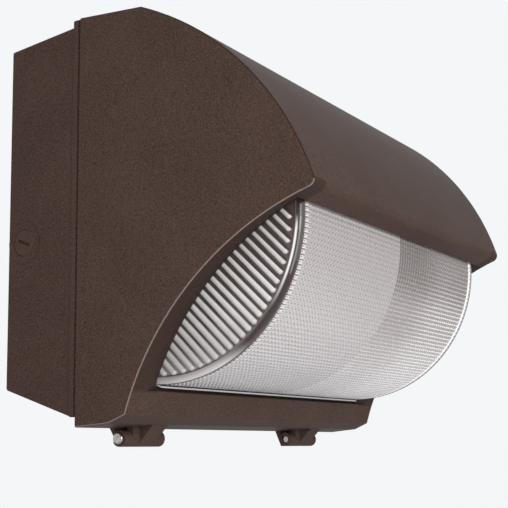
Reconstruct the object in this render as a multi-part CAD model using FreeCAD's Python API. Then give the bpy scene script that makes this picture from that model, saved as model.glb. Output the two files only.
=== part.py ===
import FreeCAD, Part
import math
import os

V = FreeCAD.Vector

# Wall pack light. Millimetres, +Z up, the wall is the plane Y = 0 and the front faces -Y.
# The origin is the centre of the four wall screws on the wall plane.

# ---- driving dimensions: envelope -------------------------------------------------
door_width = 500.0
door_top = 178.0
door_bottom = -200.5
housing_depth = 88.5
gasket_thickness = 2.5
seam_y = -(housing_depth + gasket_thickness)

# ---- back box ---------------------------------------------------------------------
wall_side_taper = 6.3
wall_top_taper = 6.9
box_side_inset = 2.2
box_top_inset = 6.1
box_bottom_inset = 9.4
box_corner = 3.0
box_wall = 3.6
back_wall = 4.5
flange_thickness = 5.5
flange_side_inset = 0.4
flange_top_inset = 0.6
flange_seat = 20.0
screw_spacing_x = 350.0
screw_spacing_z = 220.0
wall_screw_hole_r = 4.2
wall_screw_boss_r = 11.0
wall_screw_boss_height = 4.0
entry_boss_r = 20.0
entry_length = 12.0

# ---- side entries and their plugs -------------------------------------------------
plug_r = 13.0
plug_length = 11.0
plug_proud = 0.4
plug_chamfer = 1.0
plug_slot_width = 2.4
plug_slot_depth = 2.6
plug_slot_length = 16.5
plug_slot_turn = 21.0
side_boss_r = 20.0
side_boss_rise = 0.8
side_boss_depth = 14.0
side_entry_from_wall = 20.5
side_entry_z = -26.0
thread_clearance = 0.05

# ---- door -------------------------------------------------------------------------
door_wall = 3.6
door_draft = 6.15
crown_reach = 63.6
hood_reach = 232.1
lip_z = -1.0
hood_radius = 286.0
lip_depth = 4.7
lip_height = 3.2
nose_round = 7.0
trough_radius = 280.0
trough_recess = 5.0
bar_reach = 51.6
bar_rise = 10.6
chamfer_reach = 34.6
chamfer_rise = 3.3
bar_thickness = 8.5
rim_width = 13.0
rim_bottom_width = 20.5
rim_thickness = 4.0
door_edge_round = 2.0
recess_gap = 1.5
recess_flank = 16.0

# ---- lens -------------------------------------------------------------------------
lens_end_inset = 45.5
lens_radius = 145.0
lens_wall = 5.0
lens_edge_round = 6.0
lens_cap_recess = 2.5
lens_rim_width = 8.5
rib_count = 9
rib_depth = 1.6
rib_crest = 0.25
flute_count = 27
flute_r = 2.9
flute_sunk = 0.4
flute_arc_inset = 13.2
flute_arc_drop = 5.2
flute_arc_reach = 1.3
lens_from_lip = 19.0
lens_from_bar = 27.5
lens_clearance = 1.0
drain_slot = 4.5
lens_flange = 8.0
lens_flange_thickness = 5.0
lens_gasket_thickness = 2.0
clip_width = 14.0
clip_length = 20.0
clip_thickness = 1.5
clip_boss_r = 4.8
clip_boss_gap = 1.2
clip_screw_r = 2.0
clip_screw_head_r = 3.6
clip_screw_head = 2.2
clip_spread = 120.0

# ---- hinge ------------------------------------------------------------------------
left_lug_from_side = 51.2
right_lug_from_side = 139.6
hook_length = 22.0
lug_width = 46.0
hook_r = 7.75
pin_r = 4.0
pin_running = 0.05
hook_mouth = 6.4
hinge_reach = 10.0
hinge_drop = 9.5
knuckle_gap = 0.5
knuckle_width = 15.0
hinge_plate_overlap = 2.0
hinge_plate_start_taper = 22.0
hinge_plate_end_taper = 4.0
hinge_arm_cut = 2.0
web_touch_angle = 232.0
web_root = 4.0
neck_thickness = 6.75
pin_head_r = 5.4
pin_head = 2.6
pin_head_round = 1.2
pin_head_gap = 0.4
pin_recess = 4.0

# ---- door screws ------------------------------------------------------------------
ear_from_side = 80.0
ear_rise = 10.0
ear_r = 11.0
ear_overlap = 2.0
door_ear = 6.0
housing_ear = 15.0
door_screw_r = 2.9
door_screw_neck_r = 2.2
door_screw_swing = 1.1
door_screw_clearance = 0.4
door_screw_end_play = 0.3
door_screw_thread = 7.5
door_screw_travel = 8.5
door_screw_head_r = 6.0
door_screw_head = 4.5
washer_r = 5.2
washer_thickness = 1.2

# ---- gear inside the back box -----------------------------------------------------
tray_half_width = 160.0
tray_half_height = 88.0
tray_thickness = 1.5
tray_standoff = 10.0
tray_boss_r = 6.0
tray_window_r = 34.0
tray_screw_inset = 10.0
small_screw_r = 2.0
small_screw_head_r = 4.0
small_screw_head = 2.4
small_screw_length = 8.0
ballast_x = -95.0
ballast_width = 100.0
ballast_height = 84.0
ballast_depth = 44.0
ballast_core_window = 18.0
ballast_leg = 16.0
coil_proud = 9.0
coil_gap = 0.4
capacitor_x = 78.0
capacitor_z = 12.0
capacitor_half_width = 22.0
capacitor_depth = 32.0
capacitor_height = 96.0
capacitor_tab_x = 8.0
capacitor_tab_half = 3.0
capacitor_tab_length = 9.0
capacitor_tab_thickness = 1.0
strap_thickness = 1.2
strap_width = 18.0
strap_foot = 14.0
ignitor_x = 135.0
ignitor_z = 12.0
ignitor_r = 17.0
ignitor_height = 82.0
terminal_z = -64.0
terminal_width = 62.0
terminal_height = 22.0
terminal_depth = 20.0
terminal_ways = 4
terminal_mouth = 6.0
terminal_mouth_from_tray = 5.0
earth_x = 62.0
earth_z = -116.0

# ---- reflector, socket and lamp ---------------------------------------------------
reflector_sheet = 1.2
reflector_end_gap = 10.0
reflector_spread = 92.0
reflector_turn = 45.0
lamp_reach = 84.0
lamp_z = 0.0
plate_clearance = 1.5
plate_screw_side_inset = 29.6
plate_screw_z = 120.0
plate_post_r = 6.0
wire_hole_r = 8.0
wire_hole_from_bracket = 30.0
socket_from_reflector = 12.0
socket_r = 27.0
socket_length = 62.0
socket_waist_start = 12.0
socket_waist_width = 10.0
socket_waist_depth = 3.0
bracket_thickness = 2.0
bracket_half_width = 20.0
lamp_base_r = 19.5
lamp_base_length = 40.0
bulb_neck_r = 21.0
bulb_neck_length = 30.0
bulb_flare = 0.72
bulb_r = 44.5
bulb_length = 168.0
glass_thickness = 1.2
arc_tube_r = 9.0
arc_tube_length = 62.0
frame_wire_r = 1.0
frame_rail_gap = 6.0
frame_rail_beyond = 8.0
frame_tie_gap = 4.0
arc_tube_middle = 0.55
arc_tube_tip = 5.0
arc_tube_tip_r = 2.0
wire_r = 1.4
wire_route_x = 109.0
wire_depth = 8.0
wire_tail = 6.0
wire_drop = 12.0
wire_step = 5.0
wire_rise = 18.0

# ---- places worked out from the above ---------------------------------------------
flange_front = -housing_depth
flange_back = flange_front + flange_thickness
box_half_width = door_width / 2 - box_side_inset
box_top = door_top - box_top_inset
wall_face_half_width = box_half_width - wall_side_taper
wall_face_half_height = box_top - wall_top_taper
box_bottom = door_bottom + box_bottom_inset
flange_half_width = door_width / 2 - flange_side_inset
flange_top = door_top - flange_top_inset
open_half_width = flange_half_width - flange_seat
open_top = flange_top - flange_seat
open_bottom = box_bottom + flange_seat
plate_screw_x = open_half_width - plate_screw_side_inset
lug_starts = (-door_width / 2 + left_lug_from_side, door_width / 2 - right_lug_from_side)
ear_x = door_width / 2 - ear_from_side

tip = (seam_y - hood_reach, lip_z)
crown = (seam_y - crown_reach, door_top)
lip_end = (tip[0] + lip_depth, tip[1] - lip_height)
bar_corner = (seam_y - bar_reach, door_bottom + bar_rise)
chamfer_end = (seam_y - chamfer_reach, door_bottom + chamfer_rise)
hinge_y = seam_y - hinge_reach
hinge_z = door_bottom - hinge_drop
lamp_y = seam_y - lamp_reach
tray_front = -(back_wall + tray_standoff + tray_thickness)
ear_z = door_top + ear_rise
lens_half = door_width / 2 - lens_end_inset
reflector_half_width = lens_half - reflector_end_gap
socket_start = -reflector_half_width + socket_from_reflector
plate_rear = flange_front + plate_clearance + reflector_sheet
reflector_radius = plate_rear - reflector_sheet - lamp_y
entry_r = plug_r + thread_clearance
pin_length = lug_width + knuckle_gap + knuckle_width + pin_head_gap - pin_recess


def circle_centre(start, end, radius, side):
    """Centre of the arc through two (y, z) points; side +1 or -1 picks which side of the chord."""
    chord_y = end[0] - start[0]
    chord_z = end[1] - start[1]
    half = math.hypot(chord_y, chord_z) / 2
    rise = math.sqrt(radius * radius - half * half)
    normal_y = -chord_z / (2 * half)
    normal_z = chord_y / (2 * half)
    middle = ((start[0] + end[0]) / 2, (start[1] + end[1]) / 2)
    return (middle[0] + side * rise * normal_y, middle[1] + side * rise * normal_z)


def circles_meet(first, first_radius, second, second_radius):
    """The upper front point, in (y, z), where two circles cross."""
    gap = math.dist(first, second)
    along = (first_radius ** 2 - second_radius ** 2 + gap ** 2) / (2 * gap)
    across = math.sqrt(first_radius ** 2 - along ** 2)
    unit = ((second[0] - first[0]) / gap, (second[1] - first[1]) / gap)
    return (first[0] + along * unit[0] + across * unit[1], first[1] + along * unit[1] - across * unit[0])


def polar(centre, radius, angle):
    return (centre[0] + radius * math.cos(angle), centre[1] + radius * math.sin(angle))


def angle_of(centre, point):
    return math.atan2(point[1] - centre[1], point[0] - centre[0])


hood_centre = circle_centre(crown, tip, hood_radius, 1)
trough_centre = circle_centre(lip_end, bar_corner, trough_radius, -1)
lip_angle = angle_of(trough_centre, lip_end)
bar_angle = angle_of(trough_centre, bar_corner)
floor_radius = trough_radius + trough_recess
skin_radius = floor_radius + door_wall
flange_face_radius = skin_radius + lens_gasket_thickness
flange_rear_radius = flange_face_radius + lens_flange_thickness
lens_top_angle = lip_angle - lens_from_lip / trough_radius
lens_bottom_angle = bar_angle + lens_from_bar / trough_radius
lens_top = polar(trough_centre, floor_radius, lens_top_angle)
lens_bottom = polar(trough_centre, floor_radius, lens_bottom_angle)
lens_centre = circle_centre(lens_top, lens_bottom, lens_radius, 1)
nose_centre = circles_meet(hood_centre, hood_radius - nose_round, trough_centre, trough_radius + nose_round)
nose_hood_angle = angle_of(hood_centre, nose_centre) % (2 * math.pi)
nose_trough_angle = angle_of(trough_centre, nose_centre)
lens_cap = lens_half - lens_cap_recess


# ---- small builders ---------------------------------------------------------------
def block(x0, x1, y0, y1, z0, z1):
    size = V(abs(x1 - x0), abs(y1 - y0), abs(z1 - z0))
    return Part.makeBox(size.x, size.y, size.z, V(min(x0, x1), min(y0, y1), min(z0, z1)))


def rod(start, direction, length, radius):
    return Part.makeCylinder(radius, length, start, direction)


def at(x, point):
    return V(x, point[0], point[1])


def arc_edge(x, centre, radius, start, end):
    middle = (start + end) / 2
    points = [at(x, polar(centre, radius, angle)) for angle in (start, middle, end)]
    return Part.Arc(*points).toShape()


def line_edge(x, start, end):
    return Part.makeLine(at(x, start), at(x, end))


def prism_x(edges, x0, x1):
    """Solid from a closed outline drawn in the plane X = x0."""
    return Part.Face(Part.Wire(Part.__sortEdges__(edges))).extrude(V(x1 - x0, 0, 0))


def polygon_x(points, x0, x1):
    edges = []
    for index, point in enumerate(points):
        edges.append(line_edge(x0, point, points[(index + 1) % len(points)]))
    return prism_x(edges, x0, x1)


def curved_band(centre, inner, outer, start, end, x0, x1):
    """Part of a tube about an axis along X, between two angles."""
    edges = [
        arc_edge(x0, centre, inner, start, end),
        arc_edge(x0, centre, outer, start, end),
        line_edge(x0, polar(centre, inner, start), polar(centre, outer, start)),
        line_edge(x0, polar(centre, inner, end), polar(centre, outer, end)),
    ]
    return prism_x(edges, x0, x1)


def join(shapes):
    result = shapes[0].multiFuse(shapes[1:]) if len(shapes) > 1 else shapes[0]
    return result.removeSplitter()


def group(shapes):
    return Part.makeCompound(shapes)


def rounded_rectangle(y, half_width, bottom, top, radius):
    """Closed wire in the plane Y = y."""
    arcs = []
    for turn, (x, z) in enumerate(((1, top), (-1, top), (-1, bottom), (1, bottom))):
        inward = -1 if z == top else 1
        centre = V(x * (half_width - radius), y, z + inward * radius)
        points = []
        for part in (0, 45, 90):
            angle = math.radians(90 * turn + part)
            points.append(centre + V(radius * math.cos(angle), 0, radius * math.sin(angle)))
        arcs.append(points)
    edges = []
    for index, points in enumerate(arcs):
        edges.append(Part.Arc(*points).toShape())
        edges.append(Part.makeLine(points[2], arcs[(index + 1) % 4][0]))
    return Part.Wire(edges)


def slab(y0, y1, half_width, bottom, top, radius):
    """Rounded plate between two planes parallel to the wall."""
    return Part.Face(rounded_rectangle(y0, half_width, bottom, top, radius)).extrude(V(0, y1 - y0, 0))


def pan_screw(seat, direction, shank_r, length, head_r, head):
    """Screw with a slotted head; seat is under the head, direction points into the work."""
    shank = rod(seat, direction, length, shank_r)
    top = rod(seat - direction * head, direction, head, head_r)
    screw = shank.fuse(top)
    return screw.cut(slot_cutter(seat - direction * head, direction, head_r, head / 2, head / 3))


def slot_cutter(centre, direction, half_length, width, depth):
    """Bar across a screw head whose face is at centre."""
    side = V(0, 0, 1) if abs(direction.z) < 0.5 else V(1, 0, 0)
    across = direction.cross(side)
    corner = centre - side * (half_length + 1) - across * (width / 2) - direction
    outline = [
        corner,
        corner + side * (2 * half_length + 2),
        corner + side * (2 * half_length + 2) + across * width,
        corner + across * width,
        corner,
    ]
    return Part.Face(Part.makePolygon(outline)).extrude(direction * (depth + 1))


# ---- back box ---------------------------------------------------------------------
def box_section(y, shrink):
    """Section of the tapered box parallel to the wall, y from 0 at the wall to flange_back."""
    share = y / flange_back
    half_width = wall_face_half_width + share * (box_half_width - wall_face_half_width)
    top = wall_face_half_height + share * (box_top - wall_face_half_height)
    bottom = -wall_face_half_height + share * (box_bottom + wall_face_half_height)
    return rounded_rectangle(y, half_width - shrink, bottom + shrink, top - shrink, box_corner - shrink / 2)


def box_half_width_at(y):
    return wall_face_half_width + y / flange_back * (box_half_width - wall_face_half_width)


def wall_screw_places():
    places = []
    for x in (-screw_spacing_x / 2, screw_spacing_x / 2):
        for z in (-screw_spacing_z / 2, screw_spacing_z / 2):
            places.append((x, z))
    return places


def tray_screw_places():
    places = []
    for x in (-tray_half_width + tray_screw_inset, tray_half_width - tray_screw_inset):
        for z in (-tray_half_height + tray_screw_inset, tray_half_height - tray_screw_inset):
            places.append((x, z))
    return places


def plate_screw_places():
    return [(x, z) for x in (-plate_screw_x, plate_screw_x) for z in (-plate_screw_z, plate_screw_z)]


def housing_knuckle(start):
    """Hinge plate under the flange with the knuckle that holds one pin."""
    end = start + lug_width + knuckle_gap + knuckle_width
    plate_top = box_bottom + hinge_plate_overlap
    plate_low = hinge_z - hook_r
    outline = [
        V(start, flange_front, plate_top),
        V(end, flange_front, plate_top),
        V(end, flange_front, plate_low + hinge_plate_end_taper),
        V(end - hinge_plate_end_taper, flange_front, plate_low),
        V(start + hinge_plate_start_taper, flange_front, plate_low),
        V(start, flange_front, plate_top),
    ]
    plate = Part.Face(Part.makePolygon(outline)).extrude(V(0, flange_thickness, 0))
    knuckle_start = end - knuckle_width
    barrel = rod(V(knuckle_start, hinge_y, hinge_z), V(1, 0, 0), knuckle_width, hook_r)
    arm = block(knuckle_start, end, hinge_y, flange_front + 1,
                hinge_z - hook_r, hinge_z + hook_r - hinge_arm_cut)
    return join([plate, barrel, arm])


def housing_ear_solid(x):
    low = box_top - ear_overlap
    upright = block(x - ear_r, x + ear_r, flange_front, flange_front + housing_ear, low, ear_z)
    crown_round = rod(V(x, flange_front, ear_z), V(0, 1, 0), housing_ear, ear_r)
    return join([upright, crown_round])


def back_housing():
    outer = Part.makeLoft([box_section(0, 0), box_section(flange_back, 0)], True, True)
    inner_ends = [box_section(-back_wall, box_wall), box_section(flange_back, box_wall)]
    hollow = Part.makeLoft(inner_ends, True, True)
    flange = slab(flange_back, flange_front, flange_half_width, box_bottom, flange_top, box_corner)
    flange = flange.cut(slab(flange_back + 1, flange_front - 1,
                             open_half_width, open_bottom, open_top, box_corner))
    body = outer.cut(hollow).fuse(flange)
    additions = [housing_knuckle(start) for start in lug_starts]
    additions += [housing_ear_solid(x) for x in (-ear_x, ear_x)]
    for x, z in wall_screw_places():
        additions.append(rod(V(x, -1, z), V(0, -1, 0),
                             back_wall + wall_screw_boss_height - 1, wall_screw_boss_r))
    for x, z in tray_screw_places():
        additions.append(rod(V(x, -1, z), V(0, -1, 0), back_wall + tray_standoff - 1, tray_boss_r))
    for x, z in plate_screw_places():
        additions.append(rod(V(x, -1, z), V(0, -1, 0), -1 - plate_rear, plate_post_r))
    additions.append(rod(V(0, -1, 0), V(0, -1, 0), entry_length - 1, entry_boss_r))
    additions.append(rod(V(earth_x, -1, earth_z), V(0, -1, 0),
                         back_wall + small_screw_length - 1, tray_boss_r))
    for side in (-1, 1):
        additions.append(side_boss(side))
    body = join([body] + additions)
    body = body.common(block(-door_width, door_width, -door_width, 0, -door_width, door_width))
    cutters = [rod(V(0, 1, 0), V(0, -1, 0), entry_length + 2, entry_r)]
    for x, z in wall_screw_places():
        cutters.append(rod(V(x, 1, z), V(0, -1, 0),
                           back_wall + wall_screw_boss_height + 2, wall_screw_hole_r))
    for x, z in tray_screw_places():
        depth = small_screw_length + 1
        cutters.append(rod(V(x, -back_wall - tray_standoff + depth, z), V(0, -1, 0),
                           depth + 1, small_screw_r))
    for x, z in plate_screw_places():
        cutters.append(rod(V(x, plate_rear + small_screw_length, z), V(0, -1, 0),
                           small_screw_length + 1, small_screw_r))
    earth_top = -back_wall - small_screw_length
    cutters.append(rod(V(earth_x, earth_top + small_screw_length, earth_z), V(0, -1, 0),
                       small_screw_length + 1, small_screw_r))
    for side in (-1, 1):
        cutters.append(side_entry(side))
    for start in lug_starts:
        cutters.append(rod(V(start, hinge_y, hinge_z), V(1, 0, 0), 2 * lug_width, pin_r + pin_running))
    for x in (-ear_x, ear_x):
        cutters.append(rod(V(x, flange_front - 1, ear_z), V(0, 1, 0),
                           housing_ear + 2, door_screw_r + door_screw_swing))
    return body.cut(Part.makeCompound(cutters))


def set_in_side(shape, side):
    """Move a shape drawn about the X axis, outer face at X = 0, to the box's drafted side."""
    draft = math.degrees(math.atan2(wall_side_taper, -flange_back))
    shape.rotate(V(0, 0, 0), V(0, 0, 1), side * draft)
    shape.translate(V(side * box_half_width_at(-side_entry_from_wall), -side_entry_from_wall, side_entry_z))
    return shape


def side_boss(side):
    boss = rod(V(side * side_boss_rise, 0, 0), V(-side, 0, 0), side_boss_depth + side_boss_rise, side_boss_r)
    return set_in_side(boss, side)


def side_entry(side):
    hole = rod(V(side * (side_boss_rise + 1), 0, 0), V(-side, 0, 0), side_boss_depth + 4, entry_r)
    return set_in_side(hole, side)


def conduit_plug(side):
    face = side * (side_boss_rise + plug_proud)
    plug = rod(V(face, 0, 0), V(-side, 0, 0), plug_length + plug_proud, plug_r)
    face_edges = [edge for edge in plug.Edges
                  if abs(edge.BoundBox.XMin - face) < 0.01 and edge.BoundBox.XLength < 0.01]
    plug = plug.makeChamfer(plug_chamfer, face_edges)
    slot = block(face - side * plug_slot_depth, face + side, -plug_slot_length / 2, plug_slot_length / 2,
                 -plug_slot_width / 2, plug_slot_width / 2)
    slot.rotate(V(0, 0, 0), V(1, 0, 0), plug_slot_turn)
    return set_in_side(plug.cut(slot), side)


def housing_gasket():
    edge = 2.0
    width = 8.0
    outer = slab(flange_front, seam_y, flange_half_width - edge,
                 box_bottom + edge, flange_top - edge, box_corner)
    inner = slab(flange_front + 1, seam_y - 1, flange_half_width - edge - width, box_bottom + edge + width,
                 flange_top - edge - width, box_corner / 2)
    return outer.cut(inner)


# ---- door -------------------------------------------------------------------------
def door_plan(shrink):
    """Tapered block that gives the door its drafted sides."""
    slope = math.tan(math.radians(door_draft))
    half_rear = door_width / 2 - shrink
    length = hood_reach + door_wall
    half_front = half_rear - length * slope
    low = hinge_z - 2 * hook_r
    corners = [
        V(-half_rear, seam_y, low),
        V(half_rear, seam_y, low),
        V(half_front, seam_y - length, low),
        V(-half_front, seam_y - length, low),
        V(-half_rear, seam_y, low),
    ]
    return Part.Face(Part.makePolygon(corners)).extrude(V(0, 0, ear_z + 2 * ear_r - low))


def door_outer():
    half = door_width / 2
    hood_end = polar(hood_centre, hood_radius, nose_hood_angle)
    trough_start = polar(trough_centre, trough_radius, nose_trough_angle)
    nose_front = (nose_centre[0] - nose_round, nose_centre[1])
    edges = [
        line_edge(-half, (seam_y, door_bottom), (seam_y, door_top)),
        line_edge(-half, (seam_y, door_top), crown),
        arc_edge(-half, hood_centre, hood_radius, angle_of(hood_centre, crown), nose_hood_angle),
        Part.Arc(at(-half, hood_end), at(-half, nose_front), at(-half, trough_start)).toShape(),
        arc_edge(-half, trough_centre, trough_radius, nose_trough_angle, bar_angle),
        line_edge(-half, bar_corner, chamfer_end),
        line_edge(-half, chamfer_end, (seam_y, door_bottom)),
    ]
    solid = prism_x(edges, -half, half).common(door_plan(0))
    creases = [edge for edge in solid.Edges if edge.BoundBox.XLength < half and edge.BoundBox.YLength > 0.01]
    for place in (bar_corner, chamfer_end):
        creases += [edge for edge in solid.Edges
                    if edge.BoundBox.XLength > half and abs(edge.BoundBox.YMin - place[0]) < 0.01
                    and abs(edge.BoundBox.ZMin - place[1]) < 0.01]
    return solid.makeFillet(door_edge_round, creases)


def door_cavity():
    """Inside of the door: under the hood, behind the trough and above the bottom bar."""
    half = door_width / 2
    hood_tube = rod(V(-half, hood_centre[0], hood_centre[1]), V(1, 0, 0), 2 * half, hood_radius - door_wall)
    behind = block(-half, half, seam_y - hood_reach, seam_y + 1,
                   door_bottom + bar_thickness, door_top - door_wall)
    trough_tube = rod(V(-half, trough_centre[0], trough_centre[1]), V(1, 0, 0), 2 * half, skin_radius)
    front = behind.common(hood_tube)
    above = block(-half, half, crown[0], seam_y + 1, hood_centre[1], door_top - door_wall)
    return join([front, above]).cut(trough_tube).common(door_plan(door_wall))


def door_rim():
    """Inward lip round the door's rear edge, which presses on the gasket."""
    half = door_width / 2
    ring = block(-half, half, seam_y - rim_thickness, seam_y, door_bottom + 1, door_top - 1)
    opening = block(-half + rim_width, half - rim_width, seam_y - rim_thickness - 1, seam_y + 1,
                    door_bottom + rim_bottom_width, door_top - rim_width)
    return ring.cut(opening).common(door_plan(1))


def door_lug(start):
    """Hook round the pin, and the wedge web that ties it to the bottom bar."""
    hook = rod(V(start, hinge_y, hinge_z), V(1, 0, 0), lug_width, hook_r)
    touch = polar((hinge_y, hinge_z), hook_r, math.radians(web_touch_angle))
    root_z = door_bottom + web_root
    web_outline = [
        (chamfer_end[0] + 1, chamfer_end[1] + 1),
        touch,
        (hinge_y, hinge_z),
        (hinge_y + hook_r, hinge_z),
        (hinge_y + hook_r, root_z),
    ]
    web = polygon_x(web_outline, start + hook_length, start + lug_width)
    neck = [
        (hinge_y - hook_r, hinge_z),
        (hinge_y - hook_r + neck_thickness, hinge_z),
        (hinge_y - hook_r + neck_thickness, root_z),
        (hinge_y - hook_r, root_z),
    ]
    rib = polygon_x(neck, start + hook_length / 2, start + lug_width)
    return join([hook, web, rib])


def hook_bore(start):
    bore = rod(V(start - 1, hinge_y, hinge_z), V(1, 0, 0), lug_width + 2, pin_r + pin_running)
    mouth = block(start - 1, start + lug_width + 1, hinge_y, hinge_y + 2 * hook_r,
                  hinge_z - hook_mouth / 2, hinge_z + hook_mouth / 2)
    return join([bore, mouth])


def door_ear_solid(x):
    low = door_top - ear_overlap
    upright = block(x - ear_r, x + ear_r, seam_y - door_ear, seam_y, low, ear_z)
    crown_round = rod(V(x, seam_y, ear_z), V(0, -1, 0), door_ear, ear_r)
    return join([upright, crown_round])


def clip_places():
    """(x, angle, along_x): where each lens clip is screwed, and whether it lies along X."""
    edge = (lens_flange + clip_boss_r + clip_boss_gap) / flange_rear_radius
    high = lens_top_angle + edge
    low = lens_bottom_angle - drain_slot / trough_radius - edge
    middle = (lens_top_angle + lens_bottom_angle) / 2
    end_x = lens_half + lens_flange + clip_boss_r + clip_boss_gap
    places = []
    for x in (-clip_spread, clip_spread):
        places.append((x, high, 0))
        places.append((x, low, 0))
    places.append((-end_x, middle, -1))
    places.append((end_x, middle, 1))
    return places


def radial(angle):
    return V(0, math.cos(angle), math.sin(angle))


def door_casting():
    shell = door_outer().cut(door_cavity())
    shell = shell.cut(lens_recess()).cut(lens_opening(drain_slot))
    additions = [door_rim()]
    additions += [door_lug(start) for start in lug_starts]
    additions += [door_ear_solid(x) for x in (-ear_x, ear_x)]
    for x, angle, side in clip_places():
        base = at(x, polar(trough_centre, skin_radius - 1, angle))
        additions.append(rod(base, radial(angle), flange_rear_radius - skin_radius + 1, clip_boss_r))
    body = join([shell] + additions)
    cutters = [hook_bore(start) for start in lug_starts]
    for x in (-ear_x, ear_x):
        cutters.append(rod(V(x, seam_y + 1, ear_z), V(0, -1, 0),
                           door_ear + 2, door_screw_r + door_screw_clearance))
    for x, angle, side in clip_places():
        base = at(x, polar(trough_centre, flange_rear_radius - small_screw_length, angle))
        cutters.append(rod(base, radial(angle), small_screw_length + 1, clip_screw_r))
    return body.cut(Part.makeCompound(cutters))


def lens_recess():
    """Sunk seat of the lens in the trough; its flanks slope out to the trough's face at both ends."""
    near = lens_half + recess_gap
    far = near + recess_flank
    centre = at(0, trough_centre)
    seat = rod(centre - V(near, 0, 0), V(1, 0, 0), 2 * near, floor_radius)
    flanks = [Part.makeCone(floor_radius, trough_radius, recess_flank, centre + V(side * near, 0, 0),
                            V(side, 0, 0)) for side in (-1, 1)]
    window = curved_band(trough_centre, trough_radius - trough_recess, skin_radius,
                         lens_bottom_angle - drain_slot / trough_radius,
                         lens_top_angle + recess_gap / trough_radius, -far, far)
    return join([seat] + flanks).common(window)


# ---- lens and what holds it -------------------------------------------------------
def lens_opening(slot):
    """What the lens passes through, with its clearance and the drain slot under it."""
    bowl = lens_body(lens_radius + lens_clearance, lens_half + lens_clearance,
                     lens_edge_round + lens_clearance)
    drain = curved_band(trough_centre, trough_radius - trough_recess, flange_face_radius,
                        lens_bottom_angle - slot / trough_radius, lens_bottom_angle + slot / trough_radius,
                        -lens_half, lens_half)
    return bowl.common(trough_tube(flange_face_radius)).fuse(drain)


def lens_body(radius, half, edge_round):
    drum = rod(V(-half, lens_centre[0], lens_centre[1]), V(1, 0, 0), 2 * half, radius)
    rims = [edge for edge in drum.Edges if edge.BoundBox.XLength < 0.01]
    return drum.makeFillet(edge_round, rims)


def trough_tube(radius):
    return rod(V(-door_width / 2, trough_centre[0], trough_centre[1]), V(1, 0, 0), door_width, radius)


def lens_drum():
    """Solid of the lens: a drum turned from its profile, with sawtooth ribs, rounded rims and sunk ends.

    The glass is pressed with a rib every 5 mm or so; the solid keeps wider ones of the same form.
    """
    ribbed = lens_half - lens_edge_round
    pitch = ribbed / rib_count
    valley = lens_radius - rib_depth
    points = [(0, valley)]
    for rib in range(rib_count):
        points += [((rib + rib_crest) * pitch, lens_radius), ((rib + 1) * pitch, valley)]
    points += [(ribbed, lens_radius)]
    shoulder = (ribbed + lens_edge_round * math.sin(math.pi / 4),
                lens_radius - lens_edge_round * (1 - math.cos(math.pi / 4)))
    rim = (lens_half, lens_radius - lens_edge_round)
    rim_inside = lens_radius - lens_rim_width
    tail = [rim, (lens_half, rim_inside), (lens_cap, rim_inside), (lens_cap, 0)]
    edges = [Part.makeLine(V(-lens_cap, 0, 0), V(lens_cap, 0, 0))]
    for side in (-1, 1):
        for stretch in (points, tail):
            for start, end in zip(stretch, stretch[1:]):
                edges.append(Part.makeLine(V(side * start[0], start[1], 0), V(side * end[0], end[1], 0)))
        corners = [V(side * x, r, 0) for x, r in (points[-1], shoulder, rim)]
        edges.append(Part.Arc(*corners).toShape())
    drum = Part.Face(Part.Wire(Part.__sortEdges__(edges))).revolve(V(0, 0, 0), V(1, 0, 0), 360)
    drum.translate(at(0, lens_centre))
    return drum


def distance_to_circle(start, direction, centre, radius, side):
    """Distance from start along direction to a circle; side +1 is where it leaves it, -1 where it enters.

    Nothing comes back where the line passes the circle by.
    """
    along = (start[0] - centre[0]) * direction[0] + (start[1] - centre[1]) * direction[1]
    outside = math.dist(start, centre) ** 2 - radius ** 2
    if along * along <= outside:
        return None
    return -along + side * math.sqrt(along * along - outside)


def lens_flutes():
    """Half-round bars on both sunk ends, from behind the door's trough to an arc inside the rim."""
    chord = math.dist(lens_top, lens_bottom)
    up = ((lens_top[0] - lens_bottom[0]) / chord, (lens_top[1] - lens_bottom[1]) / chord)
    out = (-up[1], up[0])
    arc_centre = (lens_centre[0] - flute_arc_reach, lens_centre[1] - flute_arc_drop)
    bars = []
    for number in range(flute_count):
        place = chord * (number + 0.5) / flute_count
        base = (lens_bottom[0] + up[0] * place, lens_bottom[1] + up[1] * place)
        back = distance_to_circle(base, out, trough_centre, flange_face_radius + 1, -1)
        tip = distance_to_circle(base, out, arc_centre, lens_radius - flute_arc_inset, 1)
        if tip is None or tip - back < 3 * flute_r:
            continue
        for side in (-1, 1):
            x = side * (lens_cap - flute_sunk)
            start = at(x, (base[0] + out[0] * back, base[1] + out[1] * back))
            length = tip - back - flute_r
            direction = V(0, out[0], out[1])
            bars.append(rod(start, direction, length, flute_r))
            bars.append(Part.makeSphere(flute_r, start + direction * length))
    return bars


def lens():
    inner = lens_body(lens_radius - lens_wall, lens_cap - lens_wall, lens_edge_round - lens_wall)
    bowl = lens_drum().cut(inner).common(trough_tube(flange_face_radius + 1))
    spread = lens_flange / trough_radius
    plate = curved_band(trough_centre, flange_face_radius, flange_rear_radius, lens_bottom_angle - spread,
                        lens_top_angle + spread, -lens_half - lens_flange, lens_half + lens_flange)
    return join([bowl, plate.cut(inner)] + lens_flutes())


def lens_gasket():
    spread = (lens_flange - 1) / trough_radius
    half = lens_half + lens_flange - 1
    pad = curved_band(trough_centre, skin_radius, flange_face_radius, lens_bottom_angle - spread,
                      lens_top_angle + spread, -half, half)
    bowl = lens_body(lens_radius + lens_clearance, lens_half + lens_clearance,
                     lens_edge_round + lens_clearance)
    return pad.cut(bowl)


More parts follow.
